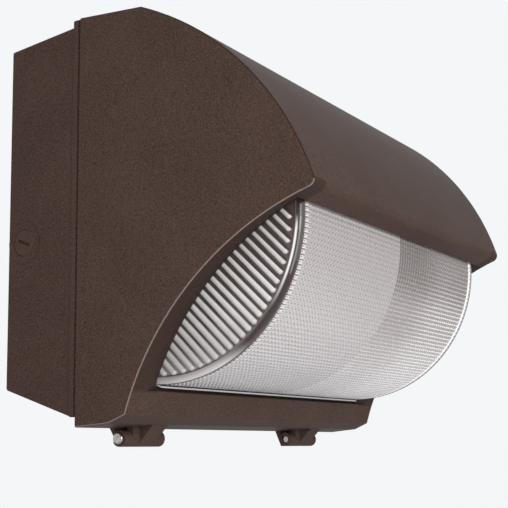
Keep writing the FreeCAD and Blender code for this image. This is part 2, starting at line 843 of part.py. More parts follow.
def lens_clip(x, angle, side):
    """Flat tab over a boss and the lens flange, drawn flat and set at its place."""
    inner_end = clip_length - clip_boss_r
    tab = block(-clip_width / 2, clip_width / 2, 0, clip_thickness, -clip_boss_r, inner_end)
    tab = tab.cut(rod(V(0, -1, 0), V(0, 1, 0), clip_thickness + 2, clip_screw_r))
    out = radial(angle)
    inward = V(-side, 0, 0)
    if side == 0:
        towards = -1 if angle > (lens_top_angle + lens_bottom_angle) / 2 else 1
        inward = V(0, -math.sin(angle), math.cos(angle)) * towards
    across = out.cross(inward)
    turn = FreeCAD.Matrix(across.x, out.x, inward.x, 0, across.y, out.y, inward.y, 0,
                          across.z, out.z, inward.z, 0)
    tab = tab.transformGeometry(turn)
    tab.translate(at(x, polar(trough_centre, flange_rear_radius, angle)))
    return tab


def lens_clips():
    return group([lens_clip(x, angle, side) for x, angle, side in clip_places()])


def clip_screws():
    screws = []
    for x, angle, side in clip_places():
        seat = at(x, polar(trough_centre, flange_rear_radius + clip_thickness, angle))
        screws.append(pan_screw(seat, radial(angle) * -1, clip_screw_r - thread_clearance, small_screw_length,
                                clip_screw_head_r, clip_screw_head))
    return group(screws)


# ---- hinge pins and door screws ---------------------------------------------------
def hinge_pin(index):
    """Pin pressed into the knuckle; the left one goes in from the left, the right one from the right."""
    lug_end = lug_starts[index] + lug_width + knuckle_gap + knuckle_width
    if index == 0:
        head_seat = V(lug_starts[index] - pin_head_gap, hinge_y, hinge_z)
        inward = V(1, 0, 0)
    else:
        head_seat = V(lug_end + pin_head_gap, hinge_y, hinge_z)
        inward = V(-1, 0, 0)
    shank = rod(head_seat, inward, pin_length, pin_r)
    head = rod(head_seat, inward * -1, pin_head, pin_head_r)
    face = (head_seat - inward * pin_head).x
    rims = [edge for edge in head.Edges
            if abs(edge.BoundBox.XMin - face) < 0.01 and edge.BoundBox.XLength < 0.01]
    return shank.fuse(head.makeFillet(pin_head_round, rims))


def door_screw(x):
    """Captive screw: slotted head, thin neck, and a thread that the washer holds back."""
    seat = V(x, seam_y - door_ear, ear_z)
    neck_length = door_ear + washer_thickness + door_screw_travel + door_screw_end_play
    inward = V(0, 1, 0)
    screw = pan_screw(seat, inward, door_screw_neck_r, neck_length, door_screw_head_r, door_screw_head)
    return screw.fuse(rod(seat + inward * neck_length, inward, door_screw_thread, door_screw_r))


def screw_washer(x):
    disc = rod(V(x, seam_y, ear_z), V(0, 1, 0), washer_thickness, washer_r)
    return disc.cut(rod(V(x, seam_y - 1, ear_z), V(0, 1, 0), washer_thickness + 2,
                        door_screw_neck_r + thread_clearance))


# ---- gear -------------------------------------------------------------------------
def gear_tray():
    rear = tray_front + tray_thickness
    plate = block(-tray_half_width, tray_half_width, tray_front, rear, -tray_half_height, tray_half_height)
    lip_depth_y = 6.0
    lips = []
    for z in (-tray_half_height, tray_half_height - tray_thickness):
        lips.append(block(-tray_half_width, tray_half_width, tray_front - lip_depth_y, rear,
                          z, z + tray_thickness))
    tray = join([plate] + lips)
    cutters = [rod(V(0, rear + 1, 0), V(0, -1, 0), tray_thickness + 2, tray_window_r)]
    for x, z in tray_screw_places() + ballast_bolt_places():
        cutters.append(rod(V(x, rear + 1, z), V(0, -1, 0), tray_thickness + 2, small_screw_r + 0.2))
    return tray.cut(Part.makeCompound(cutters))


def tray_screws():
    screws = []
    for x, z in tray_screw_places():
        screws.append(pan_screw(V(x, tray_front, z), V(0, 1, 0), small_screw_r - thread_clearance,
                                small_screw_length, small_screw_head_r, small_screw_head))
    return group(screws)


def ballast_bolt_places():
    inset = ballast_leg / 2
    places = []
    for x in (ballast_x - ballast_width / 2 + inset, ballast_x + ballast_width / 2 - inset):
        for z in (-ballast_height / 2 + inset, ballast_height / 2 - inset):
            places.append((x, z))
    return places


def ballast_windows():
    """Two windows in the laminations, left and right of the middle leg, as (x0, x1)."""
    inner = ballast_width / 2 - ballast_leg
    return [(ballast_x - inner, ballast_x - inner + ballast_core_window),
            (ballast_x + inner - ballast_core_window, ballast_x + inner)]


def ballast_core():
    low = -ballast_height / 2
    core = block(ballast_x - ballast_width / 2, ballast_x + ballast_width / 2, tray_front,
                 tray_front - ballast_depth, low, -low)
    cutters = []
    for x0, x1 in ballast_windows():
        cutters.append(block(x0, x1, tray_front + 1, tray_front - ballast_depth - 1,
                             low + ballast_leg, -low - ballast_leg))
    for x, z in ballast_bolt_places():
        cutters.append(rod(V(x, tray_front + 1, z), V(0, -1, 0), ballast_depth + 2, small_screw_r))
    return core.cut(Part.makeCompound(cutters))


def ballast_coils():
    """Winding round the middle leg, standing proud of the laminations at the front."""
    half_height = ballast_height / 2 - ballast_leg - coil_gap
    left, right = ballast_windows()
    coil = block(left[0] + coil_gap, right[1] - coil_gap, tray_front - coil_gap,
                 tray_front - ballast_depth - coil_proud, -half_height, half_height)
    leg = block(left[1] - coil_gap, right[0] + coil_gap, tray_front + 1, tray_front - ballast_depth - coil_gap,
                -half_height - 1, half_height + 1)
    return coil.cut(leg)


def ballast_bolts():
    bolts = []
    front = tray_front - ballast_depth
    for x, z in ballast_bolt_places():
        bolts.append(pan_screw(V(x, front, z), V(0, 1, 0), small_screw_r - thread_clearance,
                               ballast_depth + tray_thickness + 2, small_screw_head_r, small_screw_head))
    return group(bolts)


def capacitor():
    flat = capacitor_half_width - capacitor_depth / 2
    low = capacitor_z - capacitor_height / 2
    y = tray_front - capacitor_depth / 2
    ends = [rod(V(capacitor_x + side * flat, y, low), V(0, 0, 1), capacitor_height, capacitor_depth / 2)
            for side in (-1, 1)]
    middle = block(capacitor_x - flat, capacitor_x + flat, tray_front, tray_front - capacitor_depth,
                   low, low + capacitor_height)
    can = join(ends + [middle])
    tabs = []
    for side in (-1, 1):
        x = capacitor_x + side * capacitor_tab_x
        tabs.append(block(x - capacitor_tab_half, x + capacitor_tab_half, y - capacitor_tab_thickness / 2,
                          y + capacitor_tab_thickness / 2, low + capacitor_height - 1,
                          low + capacitor_height + capacitor_tab_length))
    return join([can] + tabs)


def capacitor_strap():
    low = capacitor_z - strap_width / 2
    gap = 0.2
    front = tray_front - capacitor_depth - gap
    half = capacitor_half_width + gap
    shell = block(capacitor_x - half - strap_thickness, capacitor_x + half + strap_thickness, tray_front,
                  front - strap_thickness, low, low + strap_width)
    shell = shell.cut(block(capacitor_x - half, capacitor_x + half, tray_front + 1, front,
                            low - 1, low + strap_width + 1))
    feet = []
    for side in (-1, 1):
        inner = capacitor_x + side * half
        foot = block(inner, inner + side * strap_foot, tray_front, tray_front - strap_thickness,
                     low, low + strap_width)
        feet.append(foot)
    return join([shell] + feet)


def ignitor():
    low = ignitor_z - ignitor_height / 2
    y = tray_front - ignitor_r
    can = rod(V(ignitor_x, y, low), V(0, 0, 1), ignitor_height, ignitor_r)
    foot = block(ignitor_x - ignitor_r, ignitor_x + ignitor_r, tray_front, y, low, low + 4)
    return join([can, foot])


def terminal_block():
    low = terminal_z - terminal_height / 2
    body = block(-terminal_width / 2, terminal_width / 2, tray_front, tray_front - terminal_depth,
                 low, low + terminal_height)
    pitch = terminal_width / terminal_ways
    cutters = []
    for way in range(terminal_ways):
        x = -terminal_width / 2 + pitch * (way + 0.5)
        cutters.append(rod(V(x, tray_front - terminal_depth - 1, terminal_z), V(0, 1, 0), 7, pitch * 0.28))
        cutters.append(block(x - pitch * 0.25, x + pitch * 0.25, tray_front - terminal_mouth_from_tray,
                             tray_front - terminal_mouth_from_tray - terminal_mouth,
                             low - 1, low + terminal_mouth))
    return body.cut(Part.makeCompound(cutters))


def earth_screw():
    seat = V(earth_x, -back_wall - small_screw_length, earth_z)
    return pan_screw(seat, V(0, 1, 0), small_screw_r - thread_clearance, small_screw_length - 1,
                     small_screw_head_r + 1, small_screw_head + 0.6)


# ---- reflector, socket and lamp ---------------------------------------------------
def reflector_angles():
    spread = math.radians(reflector_spread)
    turn = math.radians(reflector_turn)
    return turn - spread, turn + spread


def reflector():
    """Flat plate over the gear and a curved trough with end walls round the lamp, one formed sheet."""
    rear = plate_rear
    front = plate_rear - reflector_sheet
    gap = 2.0
    plate = slab(rear, front, open_half_width - gap, open_bottom + gap, open_top - gap, box_corner)
    start, end = reflector_angles()
    centre = (lamp_y, lamp_z)
    half = reflector_half_width
    trough = curved_band(centre, reflector_radius, reflector_radius + reflector_sheet, start, end, -half, half)
    ends = []
    for side in (-1, 1):
        wall = rod(V(side * half, lamp_y, lamp_z), V(-side, 0, 0),
                   reflector_sheet, reflector_radius + reflector_sheet)
        chord = polar(centre, reflector_radius + reflector_sheet, start)
        beyond = polar(centre, reflector_radius + reflector_sheet, end)
        backward = math.radians(reflector_turn) + math.pi
        away = (math.cos(backward), math.sin(backward))
        far = 3 * reflector_radius
        cutter = polygon_x([chord, beyond, (beyond[0] + far * away[0], beyond[1] + far * away[1]),
                            (chord[0] + far * away[0], chord[1] + far * away[1])], -half - 1, half + 1)
        ends.append(wall.cut(cutter))
    body = join([plate, trough] + ends)
    body = body.common(block(-door_width, door_width, -door_width, rear, -door_width, door_width))
    cutters = [rod(V(x, rear + 1, z), V(0, -1, 0), reflector_sheet + 2, small_screw_r + 0.2)
               for x, z in plate_screw_places()]
    hole_x = socket_start - bracket_thickness - wire_hole_from_bracket
    cutters.append(rod(V(hole_x, rear + 1, lamp_z), V(0, -1, 0), reflector_sheet + 2, wire_hole_r))
    return body.cut(Part.makeCompound(cutters))


def reflector_screws():
    screws = []
    for x, z in plate_screw_places():
        seat = V(x, plate_rear - reflector_sheet, z)
        screws.append(pan_screw(seat, V(0, 1, 0), small_screw_r - thread_clearance, small_screw_length,
                                small_screw_head_r, small_screw_head))
    return group(screws)


def socket_bracket():
    """Angle fixed to the trough's end wall, which carries the socket."""
    x1 = socket_start
    x0 = -reflector_half_width + reflector_sheet
    upright = block(x1 - bracket_thickness, x1, lamp_y - socket_r, lamp_y + socket_r,
                    lamp_z - bracket_half_width, lamp_z + bracket_half_width)
    foot = block(x0, x1, lamp_y - socket_r, lamp_y - socket_r + bracket_thickness,
                 lamp_z - bracket_half_width, lamp_z + bracket_half_width)
    heel = block(x0, x0 + bracket_thickness, lamp_y - socket_r, lamp_y + socket_r,
                 lamp_z - bracket_half_width, lamp_z + bracket_half_width)
    return join([upright, foot, heel])


def lamp_socket():
    start = V(socket_start, lamp_y, lamp_z)
    body = rod(start, V(1, 0, 0), socket_length, socket_r)
    mouth = rod(start + V(socket_length - lamp_base_length, 0, 0), V(1, 0, 0), lamp_base_length + 1,
                lamp_base_r + 0.4)
    waist = rod(start + V(socket_waist_start, 0, 0), V(1, 0, 0), socket_waist_width, socket_r + 1)
    waist = waist.cut(rod(start, V(1, 0, 0), socket_length, socket_r - socket_waist_depth))
    return body.cut(mouth).cut(waist)


lamp_start = socket_start + socket_length - lamp_base_length
bulb_start = lamp_start + lamp_base_length


def lamp_base():
    shell = rod(V(lamp_start + 0.5, lamp_y, lamp_z), V(1, 0, 0), lamp_base_length - 0.5, lamp_base_r)
    hollow = rod(V(lamp_start + 4, lamp_y, lamp_z), V(1, 0, 0), lamp_base_length, lamp_base_r - 1.5)
    return shell.cut(hollow)


def bulb(shrink, start_x):
    """Solid of the envelope: a neck that swells into a round nose centred on the lamp's axis."""
    neck_end = bulb_start + bulb_neck_length
    centre_x = bulb_start + bulb_length - bulb_r
    neck = bulb_neck_r - shrink
    wide = bulb_r - shrink
    nose = V(centre_x + wide, 0, 0)
    shoulder = V(centre_x + wide * math.cos(math.pi / 4), wide * math.sin(math.pi / 4), 0)
    widest = V(centre_x, wide, 0)
    flare = V((neck_end + centre_x) / 2, neck + bulb_flare * (wide - neck), 0)
    neck_front = V(neck_end, neck, 0)
    neck_rear = V(start_x, neck, 0)
    axis_start = V(start_x, 0, 0)
    edges = [
        Part.makeLine(axis_start, neck_rear),
        Part.makeLine(neck_rear, neck_front),
        Part.Arc(neck_front, flare, widest).toShape(),
        Part.Arc(widest, shoulder, nose).toShape(),
        Part.makeLine(nose, axis_start),
    ]
    solid = Part.Face(Part.Wire(edges)).revolve(V(0, 0, 0), V(1, 0, 0), 360)
    solid.translate(V(0, lamp_y, lamp_z))
    return solid


def lamp_envelope():
    """Glass envelope, open at its neck."""
    return bulb(0, bulb_start).cut(bulb(glass_thickness, bulb_start - 1))


def arc_tube():
    middle = bulb_start + arc_tube_middle * bulb_length
    tube_start = middle - arc_tube_length / 2
    tube = rod(V(tube_start, lamp_y, lamp_z), V(1, 0, 0), arc_tube_length, arc_tube_r)
    offset = arc_tube_r + frame_rail_gap
    start = bulb_start + 2 * glass_thickness
    rail_end = tube_start + arc_tube_length + frame_rail_beyond
    rail = rod(V(start, lamp_y, lamp_z + offset), V(1, 0, 0), rail_end - start, frame_wire_r)
    ties = []
    for x in (tube_start - frame_tie_gap, tube_start + arc_tube_length + frame_tie_gap):
        ties.append(rod(V(x, lamp_y, lamp_z), V(0, 0, 1), offset, frame_wire_r))
    tips = rod(V(tube_start - arc_tube_tip, lamp_y, lamp_z), V(1, 0, 0),
               arc_tube_length + 2 * arc_tube_tip, arc_tube_tip_r)
    return join([tube, rail, tips] + ties)


def wire_run(points):
    """Insulated wire: straight runs joined by tangent arcs as large as the runs allow."""
    edges = []
    last = points[0]
    for before, corner, after in zip(points, points[1:], points[2:]):
        into = (corner - before).normalize()
        out = (after - corner).normalize()
        turn = into.getAngle(out)
        trim = 0.45 * min((corner - before).Length, (after - corner).Length)
        radius = trim / math.tan(turn / 2)
        start = corner - into * trim
        end = corner + out * trim
        inward = (out - into).normalize()
        middle = corner + inward * (radius / math.cos(turn / 2) - radius)
        edges.append(Part.makeLine(last, start))
        edges.append(Part.Arc(start, middle, end).toShape())
        last = end
    edges.append(Part.makeLine(last, points[-1]))
    path = Part.Wire(edges)
    section = Part.Wire(Part.makeCircle(wire_r, points[0], (points[1] - points[0]).normalize()))
    return path.makePipeShell([section], True, False)


def lead_wires():
    low = terminal_z - terminal_height / 2
    pitch = terminal_width / terminal_ways
    deep = tray_front - wire_depth
    wires = []
    coil_front = tray_front - ballast_depth - coil_proud
    ballast_low = -ballast_height / 2 - wire_drop
    for way in range(2):
        x = -terminal_width / 2 + pitch * (way + 0.5)
        side_x = ballast_x + wire_drop * (way - 0.5)
        run_z = low - wire_drop - wire_step * way
        front = coil_front + 2 * wire_r + 1
        wires.append(wire_run([V(x, deep, low + wire_tail), V(x, deep, run_z), V(side_x, deep - wire_tail, run_z),
                               V(side_x, front, ballast_low),
                               V(side_x, front, -ballast_height / 2 + ballast_leg + coil_gap)]))
    x = -terminal_width / 2 + pitch * 2.5
    run_z = low - wire_drop
    tab = V(capacitor_x + capacitor_tab_x, tray_front - capacitor_depth / 2, capacitor_z + capacitor_height / 2)
    bend = V(wire_route_x, deep - wire_drop, tab.z + wire_rise)
    wires.append(wire_run([V(x, deep, low + wire_tail), V(x, deep, run_z), V(wire_route_x, deep, run_z),
                           bend, tab + V(0, 0, wire_rise), tab + V(0, 0, capacitor_tab_length)]))
    return group(wires)


PARTS = {
    "back_housing": back_housing,
    "conduit_plugs": lambda: group([conduit_plug(-1), conduit_plug(1)]),
    "housing_gasket": housing_gasket,
    "door_casting": door_casting,
    "lens": lens,
    "lens_gasket": lens_gasket,
    "lens_clips": lens_clips,
    "clip_screws": clip_screws,
    "hinge_pins": lambda: group([hinge_pin(0), hinge_pin(1)]),
    "door_screw_left": lambda: door_screw(-ear_x),
    "door_screw_right": lambda: door_screw(ear_x),
    "screw_washers": lambda: group([screw_washer(-ear_x), screw_washer(ear_x)]),
    "gear_tray": gear_tray,
    "tray_screws": tray_screws,
    "ballast_core": ballast_core,
    "ballast_coils": ballast_coils,
    "ballast_bolts": ballast_bolts,
    "capacitor": capacitor,
    "capacitor_strap": capacitor_strap,
    "ignitor": ignitor,
    "terminal_block": terminal_block,
    "earth_screw": earth_screw,
    "reflector": reflector,
    "reflector_screws": reflector_screws,
    "socket_bracket": socket_bracket,
    "lamp_socket": lamp_socket,
    "lamp_base": lamp_base,
    "lamp_envelope": lamp_envelope,
    "arc_tube": arc_tube,
    "lead_wires": lead_wires,
}

os.makedirs("parts", exist_ok=True)
for name, build in PARTS.items():
    shape = build()
    box = shape.BoundBox
    print(name, "valid", shape.isValid(), "solids", len(shape.Solids), "volume", round(shape.Volume),
          "x", round(box.XMin, 1), round(box.XMax, 1), "y", round(box.YMin, 1), round(box.YMax, 1),
          "z", round(box.ZMin, 1), round(box.ZMax, 1))
    shape.exportStep("parts/" + name + ".step")
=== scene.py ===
# %% [markdown]
# # A wall pack light, dressed for its portrait
#
# The light is a cast back box screwed to a wall, and a hooded door that hinges down from its
# lower edge. The door carries a pressed prismatic glass lens in a curved trough. The castings,
# screws and gear come from a solid model and stay exactly as they are: this lesson gives them
# their finishes, presses the ribs and prisms into the lens, and sets up a small photo studio.

import math

import bmesh
import bpy
from mathutils import Matrix, Vector


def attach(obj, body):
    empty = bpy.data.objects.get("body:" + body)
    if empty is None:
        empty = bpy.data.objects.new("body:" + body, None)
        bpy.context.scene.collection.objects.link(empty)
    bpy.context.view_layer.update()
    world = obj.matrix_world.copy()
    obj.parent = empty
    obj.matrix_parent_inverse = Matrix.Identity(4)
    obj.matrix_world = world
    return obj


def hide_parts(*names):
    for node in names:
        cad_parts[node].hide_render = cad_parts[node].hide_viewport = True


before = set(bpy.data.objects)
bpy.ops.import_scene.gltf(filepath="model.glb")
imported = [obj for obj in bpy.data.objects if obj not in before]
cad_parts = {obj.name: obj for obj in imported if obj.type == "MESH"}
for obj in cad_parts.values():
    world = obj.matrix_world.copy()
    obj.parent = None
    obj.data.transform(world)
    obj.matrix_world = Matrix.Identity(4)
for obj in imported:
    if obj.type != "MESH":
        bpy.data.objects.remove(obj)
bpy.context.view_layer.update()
MM = 0.001
print("nodes in the frame:", len(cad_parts))

# %% [markdown]
# ## The studio
# The photograph was taken from the left, level with the light's lower edge, with the lens of the
# camera shifted up. A small shift and a slight upward pitch give nearly the same picture and keep
# the whole object in the frame from other sides. The numbers come from fitting the corners of the
# door and of the back box.

# %% Camera
CAMERA_PLACE = Vector((-1.0236, -0.7479, -0.2163))
CAMERA_YAW = math.radians(31.26)
CAMERA_PITCH = math.radians(6.23)
CAMERA_ROLL = math.radians(-0.17)
CAMERA_SHIFT = 0.135
SENSOR_WIDTH = 36.0
FOCAL_PIXELS = 1120.8
FRAME_PIXELS = 508
FARTHEST_SEEN = 100.0

ahead = Vector((math.cos(CAMERA_YAW) * math.cos(CAMERA_PITCH),
                math.sin(CAMERA_YAW) * math.cos(CAMERA_PITCH), math.sin(CAMERA_PITCH)))
level_right = Vector((math.sin(CAMERA_YAW), -math.cos(CAMERA_YAW), 0))
level_up = level_right.cross(ahead)
right = math.cos(CAMERA_ROLL) * level_right + math.sin(CAMERA_ROLL) * level_up
up = math.cos(CAMERA_ROLL) * level_up - math.sin(CAMERA_ROLL) * level_right
camera_data = bpy.data.cameras.new("studio_camera")
camera_data.sensor_width = SENSOR_WIDTH
camera_data.lens = SENSOR_WIDTH * FOCAL_PIXELS / FRAME_PIXELS
camera_data.shift_y = CAMERA_SHIFT
camera_data.clip_end = FARTHEST_SEEN
camera = bpy.data.objects.new("studio_camera", camera_data)
bpy.context.scene.collection.objects.link(camera)
turn = Matrix((right, up, -ahead)).transposed()
camera.matrix_world = Matrix.Translation(CAMERA_PLACE) @ turn.to_4x4()
bpy.context.scene.camera = camera
print("focal length in mm:", round(camera_data.lens, 2))

# %% [markdown]
# Every surface and light below is a small tree of nodes. `linear` turns a hex colour, as read from
# a screen, into the linear values that a renderer needs. `add_node` puts one node in a tree. An
# input may be given as a value, as a hex colour, or as another node's output, which is linked.


# %% Colours and nodes
def linear(hex_colour):
    """The linear colour of an sRGB hex colour, by the standard's own curve."""
    channels = [int(hex_colour[i:i + 2], 16) / 255 for i in (1, 3, 5)]
    return tuple(c / 12.92 if c <= 0.04045 else ((c + 0.055) / 1.055) ** 2.4 for c in channels) + (1.0,)


def add_node(tree, kind, settings=None, inputs=None):
    """One node: settings are its fields, and inputs are values, hex colours or outputs to link."""
    node = tree.nodes.new(kind)
    for name, value in (settings or {}).items():
        setattr(node, name, value)
    for name, value in (inputs or {}).items():
        if isinstance(value, bpy.types.NodeSocket):
            tree.links.new(value, node.inputs[name])
        elif isinstance(value, str) and value.startswith("#"):
            node.inputs[name].default_value = linear(value)
        else:
            node.inputs[name].default_value = value
    return node


BACKDROP = "#f4f6f8"
print("backdrop in linear values:", [round(c, 3) for c in linear(BACKDROP)[:3]])

# %% [markdown]
# The backdrop is a pale grey-blue. The world shows that colour to the camera, in reflections and
# through glass, and gives the object a weaker, plain light. The light path tells the two apart.

# %% World
WORLD_COLOUR = "#f6f7f8"
WORLD_LIGHT = 0.60

scene = bpy.context.scene
scene.view_settings.view_transform = "Standard"


def seen_directly(tree):
    """1 for rays from the camera, a glossy surface or glass, and 0 for rays that gather light."""
    path = add_node(tree, "ShaderNodeLightPath")
    seen = path.outputs["Is Camera Ray"]
    for ray in ("Is Glossy Ray", "Is Transmission Ray"):
        seen = add_node(tree, "ShaderNodeMath", {"operation": "MAXIMUM"},
                        {0: seen, 1: path.outputs[ray]}).outputs[0]
    return seen


world = bpy.data.worlds.new("studio_world")
world.use_nodes = True
scene.world = world
sky = world.node_tree
sky.nodes.clear()
lit = add_node(sky, "ShaderNodeBackground", inputs={"Color": WORLD_COLOUR, "Strength": WORLD_LIGHT})
shown = add_node(sky, "ShaderNodeBackground", inputs={"Color": BACKDROP, "Strength": 1.0})
mixed = add_node(sky, "ShaderNodeMixShader",
                 inputs={0: seen_directly(sky), 1: lit.outputs[0], 2: shown.outputs[0]})
add_node(sky, "ShaderNodeOutputWorld", inputs={"Surface": mixed.outputs[0]})
print("world light:", WORLD_LIGHT)

# %% [markdown]
# Four soft square lamps do the rest. The key is a large one in front. A smaller one fills the left
# side, another beside it puts a glint on the glass, and a low one stands for the light that a pale
# floor throws up. Soft lamps suit a dull coat: they show its form without hard spots. The camera
# itself sees none of them.

# %% Lamps
# (name, place, what it is aimed at, side in metres, watts)
LAMPS = [("key_panel", (0.0, -2.4, -0.1), (0, -0.15, 0), 1.6, 13.0),
         ("left_fill", (-0.95, -0.85, -0.05), (-0.22, -0.28, 0), 0.6, 6.2),
         ("low_bounce", (0.05, -0.75, -0.6), (0.05, -0.75, 0), 0.7, 1.6),
         ("streak_panel", (-1.3, -1.5, 0.1), (-0.2, -0.25, 0), 0.25, 2.5)]
for lamp, stand, aim, side, power in LAMPS:
    lamp_data = bpy.data.lights.new(lamp, "AREA")
    lamp_data.shape = "SQUARE"
    lamp_data.size = side
    lamp_data.energy = power
    panel = bpy.data.objects.new(lamp, lamp_data)
    panel.location = stand
    panel.rotation_euler = (Vector(aim) - Vector(stand)).to_track_quat("-Z", "Y").to_euler()
    panel.visible_camera = False
    scene.collection.objects.link(panel)
print("lamps:", [row[0] for row in LAMPS])

# %% [markdown]
# The light hangs on a wall, so the floor lies lower than the open door reaches. Near the object
# the floor is a plain pale surface that takes its shadow. Far away it fades into the backdrop, so
# that no horizon shows. A smooth step turns the distance into a share of the backdrop.

# %% Floor
FLOOR_LEVEL = -0.72
FLOOR_HALF = 30.0
FLOOR_COLOUR = "#eceef0"
FADE_FROM = 1.5
FADE_TO = 4.0
# Settings that many nodes share.
SMOOTH = {"interpolation_type": "SMOOTHSTEP"}
TIMES = {"operation": "MULTIPLY"}


def link_object(name, mesh):
    made = bpy.data.objects.new(name, mesh)
    scene.collection.objects.link(made)
    return made


def start_material(name):
    """An empty material with its output node."""
    material = bpy.data.materials.new(name)
    material.use_nodes = True
    material.node_tree.nodes.clear()
    output = material.node_tree.nodes.new("ShaderNodeOutputMaterial")
    return material, material.node_tree, output


floor_mesh = bpy.data.meshes.new("studio_floor")
floor_mesh.from_pydata([(x * FLOOR_HALF, y * FLOOR_HALF, FLOOR_LEVEL)
                        for x, y in ((-1, -1), (1, -1), (1, 1), (-1, 1))], [], [(0, 1, 2, 3)])
floor = link_object("studio_floor", floor_mesh)
floor_paint, tree, output = start_material("matt_studio_floor")
coords = add_node(tree, "ShaderNodeTexCoord")
flat = add_node(tree, "ShaderNodeVectorMath", {"operation": "MULTIPLY"},
                {0: coords.outputs["Object"], 1: (1, 1, 0)})
reach = add_node(tree, "ShaderNodeVectorMath", {"operation": "LENGTH"}, {0: flat.outputs[0]})
fade = add_node(tree, "ShaderNodeMapRange", SMOOTH,
                {"Value": reach.outputs["Value"], "From Min": FADE_FROM, "From Max": FADE_TO})
faded = add_node(tree, "ShaderNodeMath", TIMES, {0: fade.outputs["Result"], 1: seen_directly(tree)})
matt = add_node(tree, "ShaderNodeBsdfDiffuse", inputs={"Color": FLOOR_COLOUR})
glow = add_node(tree, "ShaderNodeEmission", inputs={"Color": BACKDROP, "Strength": 1.0})
both = add_node(tree, "ShaderNodeMixShader",
                inputs={0: faded.outputs[0], 1: matt.outputs[0], 2: glow.outputs[0]})
tree.links.new(both.outputs[0], output.inputs["Surface"])
floor_mesh.materials.append(floor_paint)
print("floor at", FLOOR_LEVEL, "m")

# %% [markdown]
# The door's front is hollowed by a wide round trough, and the lens sits in it. The trough's axis
# lies in front of the light. Both the coat and the lens need its place, as (y, z).

# %% Trough axis
TROUGH_CENTRE = (-411.40 * MM, -268.30 * MM)
print("trough axis at", TROUGH_CENTRE)

# %% [markdown]
# ## Powder coat
# The castings are die-cast aluminium with a dark bronze powder coat. On the door, a painted highlight runs
# along the rounded side edges that face down, and painted shade runs along those that face up. Painted shade
# also darkens the two cheeks of the trough, beside the lens. Which way a surface faces tells the edges from
# the flats, and its place tells the cheeks from the rest. Each such measure becomes a share by a smooth step,
# and each colour is laid over the last one by its own share.

# %% Painted highlight and shade on the door's edges
# Painted highlight for the door's rounded edges that face down, painted shade for those that face up, and
# painted shade for the trough's cheeks beside the lens.
EDGE_HIGHLIGHT = "#776d6a"
SHADED_EDGE = "#2a211e"
CHEEK_SHADE = "#2e2420"
CHEEK_SHADE_SHARE = 0.6
CHEEK_INSIDE = (203 * MM, 206 * MM)
CHEEK_REACH = (288 * MM, 286 * MM)
CHEEK_FOOT = (-172 * MM, -167 * MM)
# The colour mix node has inputs for each kind of value. These are the places of the colour's own.
COLOURS = {"data_type": "RGBA"}
SHARE, UNDER, OVER, MIXED = 0, 6, 7, 2


# Paints a highlight along the rounded edges that face down, shade along those that face up, and shade on the
# trough's cheeks beside the lens.
def painted_light_and_shade_on_door(tree, coords, colour):
    facing = add_node(tree, "ShaderNodeSeparateXYZ", inputs={0: coords.outputs["Normal"]})
    place = add_node(tree, "ShaderNodeSeparateXYZ", inputs={0: coords.outputs["Object"]})
    sideways, across = [add_node(tree, "ShaderNodeMath", {"operation": "ABSOLUTE"},
                                 {0: split.outputs["X"]}).outputs[0] for split in (facing, place)]
    section = add_node(tree, "ShaderNodeCombineXYZ",
                       inputs={"Y": place.outputs["Y"], "Z": place.outputs["Z"]})
    reach = add_node(tree, "ShaderNodeVectorMath", {"operation": "DISTANCE"},
                     {0: section.outputs[0], 1: (0,) + TROUGH_CENTRE}).outputs["Value"]
    shares = []
    for measure, none_at, full_at in (
            (sideways, 0.45, 0.6), (sideways, 0.93, 0.8), (facing.outputs["Z"], -0.05, 0.05),
            (across, *CHEEK_INSIDE), (reach, *CHEEK_REACH), (place.outputs["Z"], *CHEEK_FOOT),
            (sideways, 0.45, 0.3)):
        shares.append(add_node(tree, "ShaderNodeMapRange", SMOOTH, {
            "Value": measure, "From Min": none_at, "From Max": full_at}).outputs["Result"])
    turned, not_side, facing_up = shares[:3]
    rounding = add_node(tree, "ShaderNodeMath", TIMES, {0: turned, 1: not_side}).outputs[0]
    # Painted shade on the trough's cheeks beside the lens, where the recess lies in shade.
    cheek_shade_share = CHEEK_SHADE_SHARE
    for share in shares[3:]:
        cheek_shade_share = add_node(tree, "ShaderNodeMath", TIMES, {0: cheek_shade_share, 1: share}).outputs[0]
    edge = add_node(tree, "ShaderNodeMix", COLOURS,
                    {SHARE: facing_up, UNDER: EDGE_HIGHLIGHT, OVER: SHADED_EDGE}).outputs[MIXED]
    for share, coat in ((rounding, edge), (cheek_shade_share, CHEEK_SHADE)):
        colour = add_node(tree, "ShaderNodeMix", COLOURS,
                          {SHARE: share, UNDER: colour, OVER: coat}).outputs[MIXED]
    return colour


print("cheeks darkened by", CHEEK_SHADE_SHARE)

# %% [markdown]
# Powder is sprayed dry and melted in an oven. It leaves a fine orange peel, and this colour holds
# tiny lighter flecks. One noise drives the flecks, the gloss and the peel together, because on the
# real coat they are the same bumps. The real grain is about 0.3 mm, too fine for the picture, so it
# is drawn at about 1 mm. A slow cloud lets the tone drift a little. The gloss is low.

# %% Powder coat finish
COAT_GRAIN = 1.1 * MM
PLUG_GRAIN = 0.9 * MM
CLOUD_SIZE = 60 * MM
CLOUD_DRIFT = 0.02
PEEL_HEIGHT = 0.12 * MM
COAT_GLOSS = (0.40, 0.52)
FLECKS_BETWEEN = (0.36, 0.66)
# Most of a noise lies between these two values, so they are spread over the range to be made.
NOISE_RANGE = (0.3, 0.7)
FROM_NOISE = {"From Min": NOISE_RANGE[0], "From Max": NOISE_RANGE[1]}


